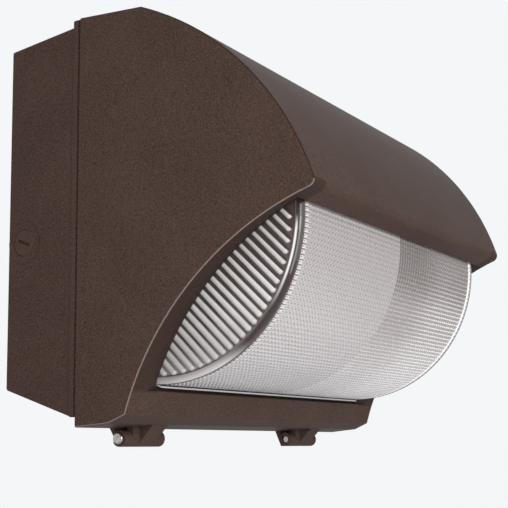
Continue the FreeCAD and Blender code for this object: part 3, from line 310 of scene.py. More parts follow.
def powder_coat(name, dark, light, grain=COAT_GRAIN, edges=False):
    material, tree, output = start_material(name)
    coords = add_node(tree, "ShaderNodeTexCoord")
    place = coords.outputs["Object"]
    speckle = add_node(tree, "ShaderNodeTexNoise", inputs={
        "Vector": place, "Scale": 1 / grain, "Detail": 3.0, "Roughness": 0.7}).outputs["Fac"]
    cloud = add_node(tree, "ShaderNodeTexNoise", inputs={
        "Vector": place, "Scale": 1 / CLOUD_SIZE, "Detail": 2.0, "Roughness": 0.5})
    drift = add_node(tree, "ShaderNodeMapRange", inputs={
        **FROM_NOISE, "Value": cloud.outputs["Fac"], "To Min": -CLOUD_DRIFT, "To Max": CLOUD_DRIFT})
    level = add_node(tree, "ShaderNodeMath", {"operation": "ADD"}, {0: speckle, 1: drift.outputs["Result"]})
    flecks = add_node(tree, "ShaderNodeValToRGB", inputs={"Fac": level.outputs[0]})
    for stop, position, colour in zip(flecks.color_ramp.elements, FLECKS_BETWEEN, (dark, light)):
        stop.position = position
        stop.color = linear(colour)
    gloss = add_node(tree, "ShaderNodeMapRange", inputs={
        **FROM_NOISE, "Value": speckle, "To Min": COAT_GLOSS[0], "To Max": COAT_GLOSS[1]})
    peel = add_node(tree, "ShaderNodeBump",
                    inputs={"Strength": 0.35, "Distance": PEEL_HEIGHT, "Height": speckle})
    tone = flecks.outputs["Color"]
    # Only the door gets the painted edge highlight and shade, and the painted shade on the trough's cheeks.
    if edges:
        tone = painted_light_and_shade_on_door(tree, coords, tone)
    coat = add_node(tree, "ShaderNodeBsdfPrincipled",
                    inputs={"IOR": 1.5, "Specular IOR Level": 0.025, "Base Color": tone,
                            "Roughness": gloss.outputs["Result"], "Normal": peel.outputs["Normal"]})
    tree.links.new(coat.outputs[0], output.inputs["Surface"])
    return material


def dress(node, material):
    """Give a solid of the frame its material; the solid itself stays as it is."""
    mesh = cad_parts[node].data
    mesh.materials.clear()
    mesh.materials.append(material)


castings = [("back_housing", powder_coat("bronze_powder_coat_box", "#332622", "#5b4841")),
            ("door_casting", powder_coat("bronze_powder_coat_door", "#332722", "#594740", edges=True)),
            ("conduit_plugs", powder_coat("bronze_powder_coat_plug", "#352824", "#5f4b43", PLUG_GRAIN))]
for casting, coat in castings:
    dress(casting, coat)
print("powder-coated castings:", len(castings))

# %% [markdown]
# ## Metals and mouldings
# The remaining finishes differ in grain, direction and gloss. One recipe covers them: a noise
# stretched along the way the surface was worked drives the colour, the gloss and a shallow
# relief. A rolled sheet has long streaks, a turned pin has rings, and a moulding has almost none.


# %% Worked finishes
def worked(name, dark, light, grain, stretch=(1, 1, 1), metallic=0.0, gloss=(0.3, 0.5), relief=0.02 * MM):
    material, tree, output = start_material(name)
    coords = add_node(tree, "ShaderNodeTexCoord")
    along = add_node(tree, "ShaderNodeMapping", inputs={"Vector": coords.outputs["Object"], "Scale": stretch})
    noise = add_node(tree, "ShaderNodeTexNoise", inputs={
        "Vector": along.outputs["Vector"], "Scale": 1 / grain, "Detail": 4.0, "Roughness": 0.6})
    grainy = noise.outputs["Fac"]
    streaks = add_node(tree, "ShaderNodeValToRGB", inputs={"Fac": grainy})
    for stop, position, colour in zip(streaks.color_ramp.elements, NOISE_RANGE, (dark, light)):
        stop.position = position
        stop.color = linear(colour)
    shine = add_node(tree, "ShaderNodeMapRange", inputs={
        **FROM_NOISE, "Value": grainy, "To Min": gloss[0], "To Max": gloss[1]})
    bumps = add_node(tree, "ShaderNodeBump", inputs={"Strength": 0.5, "Distance": relief, "Height": grainy})
    surface = add_node(tree, "ShaderNodeBsdfPrincipled",
                       inputs={"Metallic": metallic, "Base Color": streaks.outputs["Color"],
                               "Roughness": shine.outputs["Result"], "Normal": bumps.outputs["Normal"]})
    tree.links.new(surface.outputs[0], output.inputs["Surface"])
    return material


def dress_all(rows):
    """Dress the nodes of each row: (nodes, name, dark, light, grain, the rest of the recipe)."""
    for nodes, name, dark, light, grain, rest in rows:
        material = worked(name, dark, light, grain, **rest)
        for node in nodes:
            dress(node, material)
    print("finishes:", [row[1] for row in rows])


dress_all([
    # Turned stainless steel: fine rings across the pin's axis, bright and slightly warm.
    (("hinge_pins", "door_screw_left", "door_screw_right", "screw_washers"), "turned_stainless_steel",
     "#8f8c89", "#c9c6c2", 0.6 * MM, {"stretch": (1, 0.2, 0.2), "metallic": 1.0, "gloss": (0.22, 0.38)}),
    # Zinc-plated screws: a bright, cool, slightly cloudy plating.
    (("clip_screws", "tray_screws", "reflector_screws", "ballast_bolts"), "bright_zinc_plate",
     "#9a9da0", "#cfd2d4", 1.5 * MM, {"metallic": 1.0, "gloss": (0.25, 0.42)}),
    # Hot-dip galvanised sheet: dull crystals of 5 to 10 mm in two greys.
    (("gear_tray", "capacitor_strap", "socket_bracket"), "galvanised_sheet",
     "#7b8082", "#a2a7a9", 7 * MM, {"metallic": 1.0, "gloss": (0.72, 0.86)}),
    # Spring steel strip: darker than the screws, with fine streaks along its length.
    (("lens_clips",), "spring_steel_strip",
     "#6f7073", "#a2a3a6", 0.5 * MM, {"stretch": (0.1, 1, 1), "metallic": 1.0, "gloss": (0.25, 0.4)})])

# %% [markdown]
# The gear is plainer. Most of it is dull and dark, so that the white terminal block, the bare can
# and the green earth screw stand out when the door is open.

# %% Rubber, gear and mouldings
dress_all([
    # Silicone rubber: matt, near black, with a faint bloom.
    (("housing_gasket", "lens_gasket"), "black_silicone_rubber",
     "#1b1a1a", "#2a2928", 2 * MM, {"gloss": (0.6, 0.8)}),
    # Stacked laminations: thin sheet edges, so the grain is stretched along X and Z.
    (("ballast_core",), "varnished_laminations", "#1e1d1f", "#3b3936", 0.5 * MM,
     {"stretch": (0.02, 1, 0.02), "metallic": 0.4, "gloss": (0.35, 0.6), "relief": 0.2 * MM}),
    # Varnished paper and tape: amber, with a soft sheen across the windings.
    (("ballast_coils",), "varnished_coil_wrap",
     "#6a4a1d", "#a67b38", 1.2 * MM, {"stretch": (0.1, 0.1, 1), "gloss": (0.3, 0.5)}),
    # Drawn aluminium: pale, with long fine marks up the can.
    (("capacitor",), "drawn_aluminium_can",
     "#a4a7aa", "#cdd0d2", 0.8 * MM, {"stretch": (1, 1, 0.05), "metallic": 1.0, "gloss": (0.25, 0.42)}),
    # Moulded thermoset: near black with a half gloss.
    (("ignitor",), "black_thermoset_moulding", "#151517", "#242427", 1.5 * MM, {"gloss": (0.35, 0.5)}),
    # Moulded polyamide: warm white with a half gloss.
    (("terminal_block",), "white_polyamide_moulding", "#cfcbbf", "#e4e1d6", 1.5 * MM, {"gloss": (0.35, 0.5)}),
    # Green-dyed zinc: the earth screw, told from the others by its colour.
    (("earth_screw",), "green_dyed_zinc",
     "#1c5a30", "#2f8048", 1.2 * MM, {"metallic": 0.7, "gloss": (0.3, 0.45)})])

# %% [markdown]
# The reflector and the lamp's own parts are the bright ones, and the wires are black.

# %% Reflector, lamp and wires
dress_all([
    # Bright anodised reflector sheet: rolled, so the streaks run along X.
    (("reflector",), "bright_anodised_sheet",
     "#b4b7b9", "#d2d4d6", 1.0 * MM, {"stretch": (0.03, 1, 1), "metallic": 1.0, "gloss": (0.3, 0.42)}),
    # Glazed porcelain: warm white and very glossy, with almost no grain.
    (("lamp_socket",), "glazed_porcelain", "#e2ded2", "#f0ede4", 9 * MM, {"gloss": (0.08, 0.15)}),
    # Nickel-plated brass: a warm, bright shell with rings.
    (("lamp_base",), "nickel_plated_brass",
     "#a79d84", "#d2c8ae", 0.8 * MM, {"stretch": (1, 0.1, 0.1), "metallic": 1.0, "gloss": (0.2, 0.35)}),
    # Translucent ceramic: milky and smooth.
    (("arc_tube",), "translucent_ceramic_tube", "#cfcabd", "#ebe7dc", 2 * MM, {"gloss": (0.2, 0.35)}),
    # Wire insulation: black with a soft shine.
    (("lead_wires",), "black_wire_insulation", "#101012", "#202023", 1.0 * MM, {"gloss": (0.3, 0.42)})])

# %% [markdown]
# ## Lamp glass
# The envelope is clear blown glass, 1.2 mm thick. It bends light little, so a smooth glass shader
# with a faint haze is enough.

# %% Lamp envelope
HAZE_SIZE = 25 * MM
HAZE_GLOSS = (0.02, 0.08)

lamp_glass, tree, output = start_material("clear_blown_glass")
coords = add_node(tree, "ShaderNodeTexCoord")
haze = add_node(tree, "ShaderNodeTexNoise",
                inputs={"Vector": coords.outputs["Object"], "Scale": 1 / HAZE_SIZE, "Detail": 1.0})
smooth = add_node(tree, "ShaderNodeMapRange", inputs={"Value": haze.outputs["Fac"], "To Min": HAZE_GLOSS[0],
                                                      "To Max": HAZE_GLOSS[1]})
blown = add_node(tree, "ShaderNodeBsdfPrincipled",
                 inputs={"Base Color": "#f4f5f4", "IOR": 1.5, "Transmission Weight": 1.0,
                         "Roughness": smooth.outputs["Result"]})
tree.links.new(blown.outputs[0], output.inputs["Surface"])
dress("lamp_envelope", lamp_glass)
print("lamp glass:", lamp_glass.name)

# %% [markdown]
# ## The prismatic lens
# The lens is a little over a quarter of a drum, pressed in glass. Upright ribs run round it and
# level prisms run along it, so its face is a field of tiny pyramids. Each rib has a steep flank
# towards the middle of the lens and a gentle flank outwards. From the left, the left half shows
# only gentle flanks and looks pale. The right half shows its steep flanks too, and looks darker.
#
# The two corners of the opening and the drum's radius give its axis, behind the line between them.

# %% Lens sizes
CHORD_TOP = (-298.73 * MM, -6.52 * MM)
CHORD_LOW = (-146.94 * MM, -162.06 * MM)
HIDDEN_RADIUS = 291.0 * MM
DRUM_RADIUS = 145.0 * MM
LENS_HALF = 204.5 * MM
EDGE_ROUND = 6.0 * MM
RIM_WIDTH = 8.5 * MM
CAP_FACE = 202.0 * MM
GLASS_THICKNESS = 4.5 * MM

chord = math.dist(CHORD_TOP, CHORD_LOW)
chord_unit = ((CHORD_TOP[0] - CHORD_LOW[0]) / chord, (CHORD_TOP[1] - CHORD_LOW[1]) / chord)
forward = (-chord_unit[1], chord_unit[0])
behind = math.sqrt(DRUM_RADIUS ** 2 - (chord / 2) ** 2)
LENS_CENTRE = ((CHORD_TOP[0] + CHORD_LOW[0]) / 2 - forward[0] * behind,
               (CHORD_TOP[1] + CHORD_LOW[1]) / 2 - forward[1] * behind)
centre_gap = math.dist(LENS_CENTRE, TROUGH_CENTRE)
towards_trough = math.atan2(TROUGH_CENTRE[1] - LENS_CENTRE[1], TROUGH_CENTRE[0] - LENS_CENTRE[0])
half_sweep = math.acos((DRUM_RADIUS ** 2 + centre_gap ** 2 - HIDDEN_RADIUS ** 2)
                       / (2 * DRUM_RADIUS * centre_gap))
print("lens axis:", LENS_CENTRE, "sweep in degrees:", round(math.degrees(2 * half_sweep), 1))

# %% [markdown]
# The drum is worked out in rows round its axis and columns along it. Each row and each column is
# either a crest or a valley of the pattern. The columns go on over the rounded edge and down the
# flat ends, so the whole bowl is one skin. The counts come from the spacing of the real pattern.

# %% Lens columns and rows
RIB_DEPTH = 1.0 * MM
PRISM_DEPTH = 0.42 * MM
RIBS_PER_HALF = 33
PRISMS = 56
RIB_CREST = 0.27
PRISM_CREST = 0.4
RIBBED = LENS_HALF - EDGE_ROUND
PLAIN_STRIP = 0.3 * MM
EDGE_STEPS = 6
EDGE_STEP = math.radians(90 / EDGE_STEPS)
EDGE_FADE = 0.4
CAP_STEPS = 5
# The rim behind the rounded edge, in mm: (how far in from the end, how far out from its inner edge).
RIM_STEPS = ((0.4, 1.0), (1.6, 0.6), (2.4, 0.2), (2.5, 0.0))


def half_columns():
    """(x, radius, share of the way down the flat end, rib, share of the way over the rim)."""
    pitch = RIBBED / RIBS_PER_HALF
    valley = DRUM_RADIUS - RIB_DEPTH - PRISM_DEPTH
    columns = []
    for step in range(2 * RIBS_PER_HALF + 1):
        crest = step % 2
        columns.append(((step // 2 + RIB_CREST * crest) * pitch, valley, 0.0, crest, 0.0))
    for step in range(EDGE_STEPS + 1):
        turned = EDGE_STEP * step
        pattern_left = max(0.0, 1.0 - EDGE_FADE * step) * PRISM_DEPTH
        columns.append((RIBBED + PLAIN_STRIP + (EDGE_ROUND - PLAIN_STRIP) * math.sin(turned),
                        DRUM_RADIUS - EDGE_ROUND + EDGE_ROUND * math.cos(turned) - pattern_left,
                        0.0, 0, 0.1 * step))
    rim_inside = DRUM_RADIUS - RIM_WIDTH
    for drop, inset in RIM_STEPS:
        columns.append((LENS_HALF - drop * MM, rim_inside + inset * MM, 0.0, 0, 1.0 - 0.15 * inset))
    for step in range(1, CAP_STEPS + 1):
        columns.append((CAP_FACE, rim_inside, step / CAP_STEPS, 0, 1.0))
    return columns


def rows():
    """(angle, prism) round the drum, from its top edge to its lower edge."""
    pitch = 2 * half_sweep / PRISMS
    start = towards_trough - half_sweep
    made = []
    for step in range(2 * PRISMS + 1):
        crest = step % 2
        made.append((start + (step // 2 + PRISM_CREST * crest) * pitch, crest))
    return made


print("columns on each half:", len(half_columns()), "rows:", len(rows()))

# %% [markdown]
# Rows times columns give the skin. Its edges dip behind the door's trough, so `hidden_edge` says
# how far out the skin may start at each angle. Three attributes go with the points: how far up a
# rib, how far up a prism, and how far over the rim each one lies. The material reads them too.

# %% Lens bowl
LEAST_DEPTH = 0.5 * MM


def hidden_edge(angle):
    """How far from the drum's axis the lens dips behind the door's trough, at this angle."""
    off = angle - towards_trough
    return centre_gap * math.cos(off) - math.sqrt(HIDDEN_RADIUS ** 2 - (centre_gap * math.sin(off)) ** 2)


def bowl_mesh():
    outward = half_columns()
    columns = [(-column[0],) + column[1:] for column in reversed(outward[1:])] + outward
    points, ribs, prisms, rims = [], [], [], []
    for angle, prism in rows():
        edge = hidden_edge(angle)
        for x, radius, share, rib, rim in columns:
            inner = min(edge, radius - LEAST_DEPTH)
            r = radius + share * (inner - radius)
            points.append((x, LENS_CENTRE[0] + r * math.cos(angle), LENS_CENTRE[1] + r * math.sin(angle)))
            past = abs(x) - RIBBED
            fading = 1.0 if past <= 0 else max(0.0, 1.0 - past / (EDGE_FADE * EDGE_ROUND))
            ribs.append(float(rib))
            prisms.append(float(prism) * fading)
            rims.append(rim)
    wide = len(columns)
    faces = []
    for row in range(len(rows()) - 1):
        for column in range(wide - 1):
            a = row * wide + column
            faces.append((a, a + wide, a + 1 + wide, a + 1))
    mesh = bpy.data.meshes.new("lens_bowl")
    mesh.from_pydata(points, [], faces)
    for name, values in (("rib", ribs), ("prism", prisms), ("rim", rims)):
        mesh.attributes.new(name, "FLOAT", "POINT").data.foreach_set("value", values)
    return mesh


lens = link_object("lens_glass", bowl_mesh())
print("points of the unpressed bowl:", len(lens.data.vertices))

# %% [markdown]
# A Geometry Nodes tree presses the pattern, because one rule serves every rib and prism: it lifts
# each point away from the drum's axis by the rib and prism depths. It also marks the flanks that
# face the middle of the lens and those that face down, for the material to tell apart.


# %% Prism press
def node_tree(name, inputs):
    """A geometry tree with a geometry input, the named inputs, and a geometry output."""
    tree = bpy.data.node_groups.new(name, "GeometryNodeTree")
    tree.interface.new_socket("Geometry", in_out="INPUT", socket_type="NodeSocketGeometry")
    for label, kind in inputs:
        tree.interface.new_socket(label, in_out="INPUT", socket_type=kind)
    tree.interface.new_socket("Geometry", in_out="OUTPUT", socket_type="NodeSocketGeometry")
    return tree, add_node(tree, "NodeGroupInput"), add_node(tree, "NodeGroupOutput")


JUST_OVER_ZERO = 1e-6
press, given, result = node_tree("prism_press", [
    ("Rib Depth", "NodeSocketFloat"), ("Prism Depth", "NodeSocketFloat"), ("Axis Y", "NodeSocketFloat"),
    ("Axis Z", "NodeSocketFloat"), ("Glass", "NodeSocketMaterial")])
where = add_node(press, "GeometryNodeInputPosition")
axis = add_node(press, "ShaderNodeCombineXYZ",
                inputs={"Y": given.outputs["Axis Y"], "Z": given.outputs["Axis Z"]})
spoke = add_node(press, "ShaderNodeVectorMath", {"operation": "SUBTRACT"},
                 {0: where.outputs[0], 1: axis.outputs[0]})
spoke = add_node(press, "ShaderNodeVectorMath", TIMES, {0: spoke.outputs[0], 1: (0, 1, 1)})
spoke = add_node(press, "ShaderNodeVectorMath", {"operation": "NORMALIZE"}, {0: spoke.outputs[0]})
rib, prism = [add_node(press, "GeometryNodeInputNamedAttribute", {"data_type": "FLOAT"},
                       {"Name": name}).outputs["Attribute"] for name in ("rib", "prism")]
rib_lift = add_node(press, "ShaderNodeMath", TIMES, {0: rib, 1: given.outputs["Rib Depth"]})
lift = add_node(press, "ShaderNodeMath", {"operation": "MULTIPLY_ADD"},
                {0: prism, 1: given.outputs["Prism Depth"], 2: rib_lift.outputs[0]})
move = add_node(press, "ShaderNodeVectorMath", {"operation": "SCALE"},
                {0: spoke.outputs[0], "Scale": lift.outputs[0]})
lifted = add_node(press, "GeometryNodeSetPosition",
                  inputs={"Geometry": given.outputs["Geometry"], "Offset": move.outputs[0]})
normal = add_node(press, "GeometryNodeInputNormal")
facing = add_node(press, "ShaderNodeSeparateXYZ", inputs={0: normal.outputs[0]})
place = add_node(press, "ShaderNodeSeparateXYZ", inputs={0: where.outputs[0]})
product = add_node(press, "ShaderNodeMath", {"operation": "MULTIPLY"},
                   {0: facing.outputs["X"], 1: place.outputs["X"]})
inward = add_node(press, "ShaderNodeMath", {"operation": "LESS_THAN"},
                  {0: product.outputs[0], 1: -JUST_OVER_ZERO})
around = add_node(press, "ShaderNodeVectorMath", {"operation": "CROSS_PRODUCT"},
                  {0: (1, 0, 0), 1: spoke.outputs[0]})
tilt = add_node(press, "ShaderNodeVectorMath", {"operation": "DOT_PRODUCT"},
                {0: normal.outputs[0], 1: around.outputs[0]})
downward = add_node(press, "ShaderNodeMath", {"operation": "GREATER_THAN"},
                    {0: tilt.outputs["Value"], 1: JUST_OVER_ZERO})
marked = lifted
for name, flank in (("faces_middle", inward), ("faces_down", downward)):
    marked = add_node(press, "GeometryNodeStoreNamedAttribute", {"data_type": "FLOAT", "domain": "FACE"},
                      {"Name": name, "Geometry": marked.outputs[0], "Value": flank.outputs[0]})
solid = add_node(press, "GeometryNodeRealizeInstances", inputs={0: marked.outputs[0]})
glazed = add_node(press, "GeometryNodeSetMaterial",
                  inputs={"Geometry": solid.outputs[0], "Material": given.outputs["Glass"]})
press.links.new(glazed.outputs[0], result.inputs[0])
print("nodes in the press:", len(press.nodes))

# %% [markdown]
# Pressed borosilicate glass is clear, but its ribs scatter what is behind them, and tracing light through
# thousands of prisms would only give noise. So the shader is mostly a pale body, and each flank gets a
# painted reflection: the tone that it would throw back. Gentle flanks are pale, with a little painted shade
# high up. Steep ones are pale at the bowl and dark high up, a painted reflection of the hood that they look
# into, and those that face down carry painted shade and are darker still.

# %% Flanks of the pyramids
GLASS_IOR = 1.47
BOWL_TOP = (-155 * MM, -85 * MM)
HOOD_SHADE = (-85 * MM, -35 * MM)
GENTLE_SHADE = (-155 * MM, -20 * MM)
FROM_MIDDLE = (40 * MM, 130 * MM)
# Gentle flanks: pale low down, and darker high up in painted shade.
GENTLE = ("#c2bdbd", "#a8a1a1")
# Painted reflection tones of the steep flanks at the bowl, above it and under the hood: (near the middle of
# the lens, farther out). STEEP_DOWN is the copy in painted shade, for the flanks that face down.
STEEP_UP = (("#d9d5d5", "#ece9e9"), ("#b0a9a8", "#e6e2e2"), ("#6a615f", "#a8a1a0"))
STEEP_DOWN = (("#cbc6c6", "#dad6d6"), ("#8f8785", "#9c9492"), ("#544a47", "#6f6664"))


def start_glass(name, wave):
    """A lens glass: its tree, its place split in three, and a slow ripple."""
    material, tree, output = start_material(name)
    coords = add_node(tree, "ShaderNodeTexCoord")
    place = add_node(tree, "ShaderNodeSeparateXYZ", inputs={0: coords.outputs["Object"]})
    ripple = add_node(tree, "ShaderNodeTexNoise",
                      inputs={"Vector": coords.outputs["Object"], "Scale": 1 / wave, "Detail": 2.0})
    return material, tree, output, place, ripple.outputs["Fac"]


def finish_glass(tree, output, tone, clearness, ripple, polish):
    """Part pale body and part clear glass, with a roughness that drifts between two values."""
    rough = add_node(tree, "ShaderNodeMapRange", SMOOTH, {
        **FROM_NOISE, "Value": ripple, "To Min": polish[0], "To Max": polish[1]})
    glass = add_node(tree, "ShaderNodeBsdfPrincipled",
                     inputs={"IOR": GLASS_IOR, "Transmission Weight": clearness, "Base Color": tone,
                             "Roughness": rough.outputs["Result"]})
    tree.links.new(glass.outputs[0], output.inputs["Surface"])


prismatic, tree, output, place, ripple = start_glass("pressed_prismatic_glass", 9 * MM)
height = place.outputs["Z"]
across = add_node(tree, "ShaderNodeMath", {"operation": "ABSOLUTE"}, {0: place.outputs["X"]}).outputs[0]
faces_down, faces_middle, rib, prism = [
    add_node(tree, "ShaderNodeAttribute", {"attribute_name": name}).outputs["Fac"]
    for name in ("faces_down", "faces_middle", "rib", "prism")]
outward, above_bowl, under_hood, high_up = [
    add_node(tree, "ShaderNodeMapRange", SMOOTH,
             {"Value": measure, "From Min": none_at, "From Max": full_at}).outputs["Result"]
    for measure, (none_at, full_at) in ((across, FROM_MIDDLE), (height, BOWL_TOP),
                                        (height, HOOD_SHADE), (height, GENTLE_SHADE))]
flanks = []
for tones in (STEEP_UP, STEEP_DOWN):
    bowl, middle, hood = [add_node(tree, "ShaderNodeMix", COLOURS,
                                   {SHARE: outward, UNDER: near, OVER: far}).outputs[MIXED]
                          for near, far in tones]
    above = add_node(tree, "ShaderNodeMix", COLOURS, {SHARE: under_hood, UNDER: middle, OVER: hood})
    flank = add_node(tree, "ShaderNodeMix", COLOURS,
                     {SHARE: above_bowl, UNDER: bowl, OVER: above.outputs[MIXED]})
    flanks.append(flank.outputs[MIXED])
steep = add_node(tree, "ShaderNodeMix", COLOURS,
                 {SHARE: faces_down, UNDER: flanks[0], OVER: flanks[1]}).outputs[MIXED]
gentle = add_node(tree, "ShaderNodeMix", COLOURS,
                  {SHARE: high_up, UNDER: GENTLE[0], OVER: GENTLE[1]}).outputs[MIXED]
print("tones of the steep flanks:", sum(len(pair) for pair in STEEP_UP + STEEP_DOWN))

# %% [markdown]
# Each pit between four pyramids is a small dark dot, and so is the middle of each flank on a prism's crest,
# so the dots stand in staggered rows. Along the rim the prisms end in a row of bright steps of painted
# highlight with dark steps between them, the steep flanks end in a white band of painted highlight, and the
# pattern ends in a thin dark line.

# %% Dots and rim of the pattern
DOT = "#7a7270"
STEP_DARK = "#5d5351"
# Painted highlights along the rim: the bright steps and the white band.
STEP_HIGHLIGHT = "#e4e0e0"
RIM_HIGHLIGHT_BAND = "#f5f3f3"
END_LINE = "#5f5452"
# Places across the lens, in mm from where the ribs end.
STEPS_BEGIN = (-10, -8)
STEPS_FULL = (-4.5, -3)
BAND = (-11, -7)
LINE = (-0.2, 0.3)

begin, full, band, line = [
    add_node(tree, "ShaderNodeMapRange", SMOOTH, {
        "Value": across, "From Min": RIBBED + start * MM, "From Max": RIBBED + stop * MM,
        "To Max": most}).outputs["Result"]
    for (start, stop), most in ((STEPS_BEGIN, 0.35), (STEPS_FULL, 0.65), (BAND, 1.0), (LINE, 1.0))]
in_step, low_rib, low_prism, past_foot, before_crest, on_crest = [
    add_node(tree, "ShaderNodeMapRange", SMOOTH,
             {"Value": measure, "From Min": none_at, "From Max": full_at}).outputs["Result"]
    for measure, none_at, full_at in ((prism, 0.15, 0.45), (rib, 0.5, 0.0), (prism, 0.6, 0.0),
                                      (rib, 0.2, 0.45), (rib, 0.85, 0.6), (prism, 0.4, 1.0))]
pit, half_way, middle_band = [
    add_node(tree, "ShaderNodeMath", TIMES, {0: one, 1: other}).outputs[0]
    for one, other in ((low_rib, low_prism), (past_foot, before_crest), (band, faces_middle))]
knot = add_node(tree, "ShaderNodeMath", TIMES, {0: half_way, 1: on_crest})
dots = add_node(tree, "ShaderNodeMath", {"operation": "MAXIMUM"}, {0: pit, 1: knot.outputs[0]})
near_rim = add_node(tree, "ShaderNodeMath", {"operation": "ADD"}, {0: begin, 1: full})
steps = add_node(tree, "ShaderNodeMix", COLOURS,
                 {SHARE: in_step, UNDER: STEP_DARK, OVER: STEP_HIGHLIGHT}).outputs[MIXED]
tone = gentle
for share, coat in ((near_rim.outputs[0], steps), (faces_middle, steep), (dots.outputs[0], DOT),
                    (middle_band, RIM_HIGHLIGHT_BAND), (line, END_LINE)):
    tone = add_node(tree, "ShaderNodeMix", COLOURS,
                    {SHARE: share, UNDER: tone, OVER: coat}).outputs[MIXED]
finish_glass(tree, output, tone, 0.06, ripple, (0.2, 0.32))
print("nodes in the lens glass:", len(tree.nodes))

# %% [markdown]
# The rim is fire-polished and clear, and bends light like a round bar. Its colour paints that in: high up a
# painted reflection of the dark hood next to a painted highlight streak, and low down a painted reflection of
# the pale bowl between two dark lines. The `rim` attribute tells how far over the bar a point lies.

# %% Clear glass of the rim
HIGH_UP = (-150 * MM, -125 * MM)
# Painted reflections of the hood and of the bowl, a painted highlight streak, and a dark line.
HOOD_REFLECTED_IN_RIM = ("#3b302d", "#7d7371")
BOWL_REFLECTED_IN_RIM = ("#d2cdcd", "#968e8d")
STREAK_HIGHLIGHT = "#fafafb"
RIM_LINE = "#4e4340"

clear_edge, tree, output, place, ripple = start_glass("fire_polished_glass_rim", 14 * MM)
height = place.outputs["Z"]
over = add_node(tree, "ShaderNodeAttribute", {"attribute_name": "rim"}).outputs["Fac"]
high_up, hood_turn, bowl_turn, first_line, second_line, *streak_highlight_shares = [
    add_node(tree, "ShaderNodeMapRange", SMOOTH,
             {"Value": measure, "From Min": none_at, "From Max": full_at}).outputs["Result"]
    for measure, none_at, full_at in (
        (height, *HIGH_UP), (over, 0.5, 0.8), (over, 0.15, 0.75), (over, 0.22, 0.12), (over, 0.68, 0.82),
        (over, 0.45, 0.55), (over, 0.78, 0.62), (height, -20 * MM, -35 * MM),
        (height, -105 * MM, -60 * MM))]
streak_highlight = streak_highlight_shares[0]
for share in streak_highlight_shares[1:]:
    streak_highlight = add_node(tree, "ShaderNodeMath", TIMES, {0: streak_highlight, 1: share}).outputs[0]
lines = add_node(tree, "ShaderNodeMath", {"operation": "ADD"}, {0: first_line, 1: second_line}).outputs[0]
upper, lower = [
    add_node(tree, "ShaderNodeMix", COLOURS, {SHARE: share, UNDER: one, OVER: other}).outputs[MIXED]
    for share, (one, other) in ((hood_turn, HOOD_REFLECTED_IN_RIM), (bowl_turn, BOWL_REFLECTED_IN_RIM))]
upper, lower = [
    add_node(tree, "ShaderNodeMix", COLOURS, {SHARE: share, UNDER: tone, OVER: mark}).outputs[MIXED]
    for share, tone, mark in ((streak_highlight, upper, STREAK_HIGHLIGHT), (lines, lower, RIM_LINE))]
tone = add_node(tree, "ShaderNodeMix", COLOURS, {SHARE: high_up, UNDER: lower, OVER: upper}).outputs[MIXED]
finish_glass(tree, output, tone, 0.1, ripple, (0.05, 0.12))
print("rim glass:", clear_edge.name)

# %% [markdown]
# The flat end between the flutes is clearer. Its colour paints the brown door seen through it, and low down
# it paints the pale bowl instead.

# %% Clear glass of the ends
# Painted views through the glass: the pale bowl low down, and the brown door higher up.
END_LOW = "#b3abab"
DOOR_BEHIND = ("#66554e", "#75635b")

clear_end, tree, output, place, ripple = start_glass("clear_pressed_glass_end", 14 * MM)
high_up = add_node(tree, "ShaderNodeMapRange", SMOOTH,
                   {"Value": place.outputs["Z"], "From Min": HIGH_UP[0], "From Max": HIGH_UP[1]})
brown = add_node(tree, "ShaderNodeMix", COLOURS,
                 {SHARE: ripple, UNDER: DOOR_BEHIND[0], OVER: DOOR_BEHIND[1]})
tone = add_node(tree, "ShaderNodeMix", COLOURS, {
    SHARE: high_up.outputs["Result"], UNDER: END_LOW, OVER: brown.outputs[MIXED]}).outputs[MIXED]
finish_glass(tree, output, tone, 0.4, ripple, (0.08, 0.16))
print("end glass:", clear_end.name)

# %% [markdown]
# The tree runs once, and its result is kept as a plain mesh. Then the faces of the rim and of the
# ends get their own glass, and the skin gets the thickness of the wall, inwards.


# %% Press the lens
def run_tree(made, tree, values):
    """Run a tree on an object and keep the result as a plain mesh."""
    modifier = made.modifiers.new(tree.name, "NODES")
    modifier.node_group = tree
    for item in tree.interface.items_tree:
        if item.item_type == "SOCKET" and item.in_out == "INPUT" and item.name in values:
            modifier[item.identifier] = values[item.name]
    bpy.context.view_layer.update()
    return keep_mesh(made)


def keep_mesh(made):
    """Put the result of an object's modifiers in its mesh, and clear them."""
    graph = bpy.context.evaluated_depsgraph_get()
    mesh = bpy.data.meshes.new_from_object(made.evaluated_get(graph))
    made.modifiers.clear()
    made.data = mesh
    return made


RIM_STARTS = LENS_HALF - 0.6 * EDGE_ROUND
lens = run_tree(lens, press, {"Rib Depth": RIB_DEPTH, "Prism Depth": PRISM_DEPTH, "Axis Y": LENS_CENTRE[0],
                              "Axis Z": LENS_CENTRE[1], "Glass": prismatic})
lens.data.materials.append(clear_edge)
lens.data.materials.append(clear_end)
for face in lens.data.polygons:
    if math.dist(face.center.yz, LENS_CENTRE) < DRUM_RADIUS - RIM_WIDTH:
        face.material_index = 2
    elif abs(face.center.x) > RIM_STARTS:
        face.material_index = 1
wall = lens.modifiers.new("glass_wall", "SOLIDIFY")
wall.thickness = GLASS_THICKNESS
wall.offset = -1.0
keep_mesh(lens)
print("lens faces:", len(lens.data.polygons))

# %% [markdown]
# The flat ends carry parallel flutes, half-round bars with rounded tips that point down and
# forward. Each runs from behind the trough to an arc inside the rim, so its length is worked out
# from where its line crosses two circles.

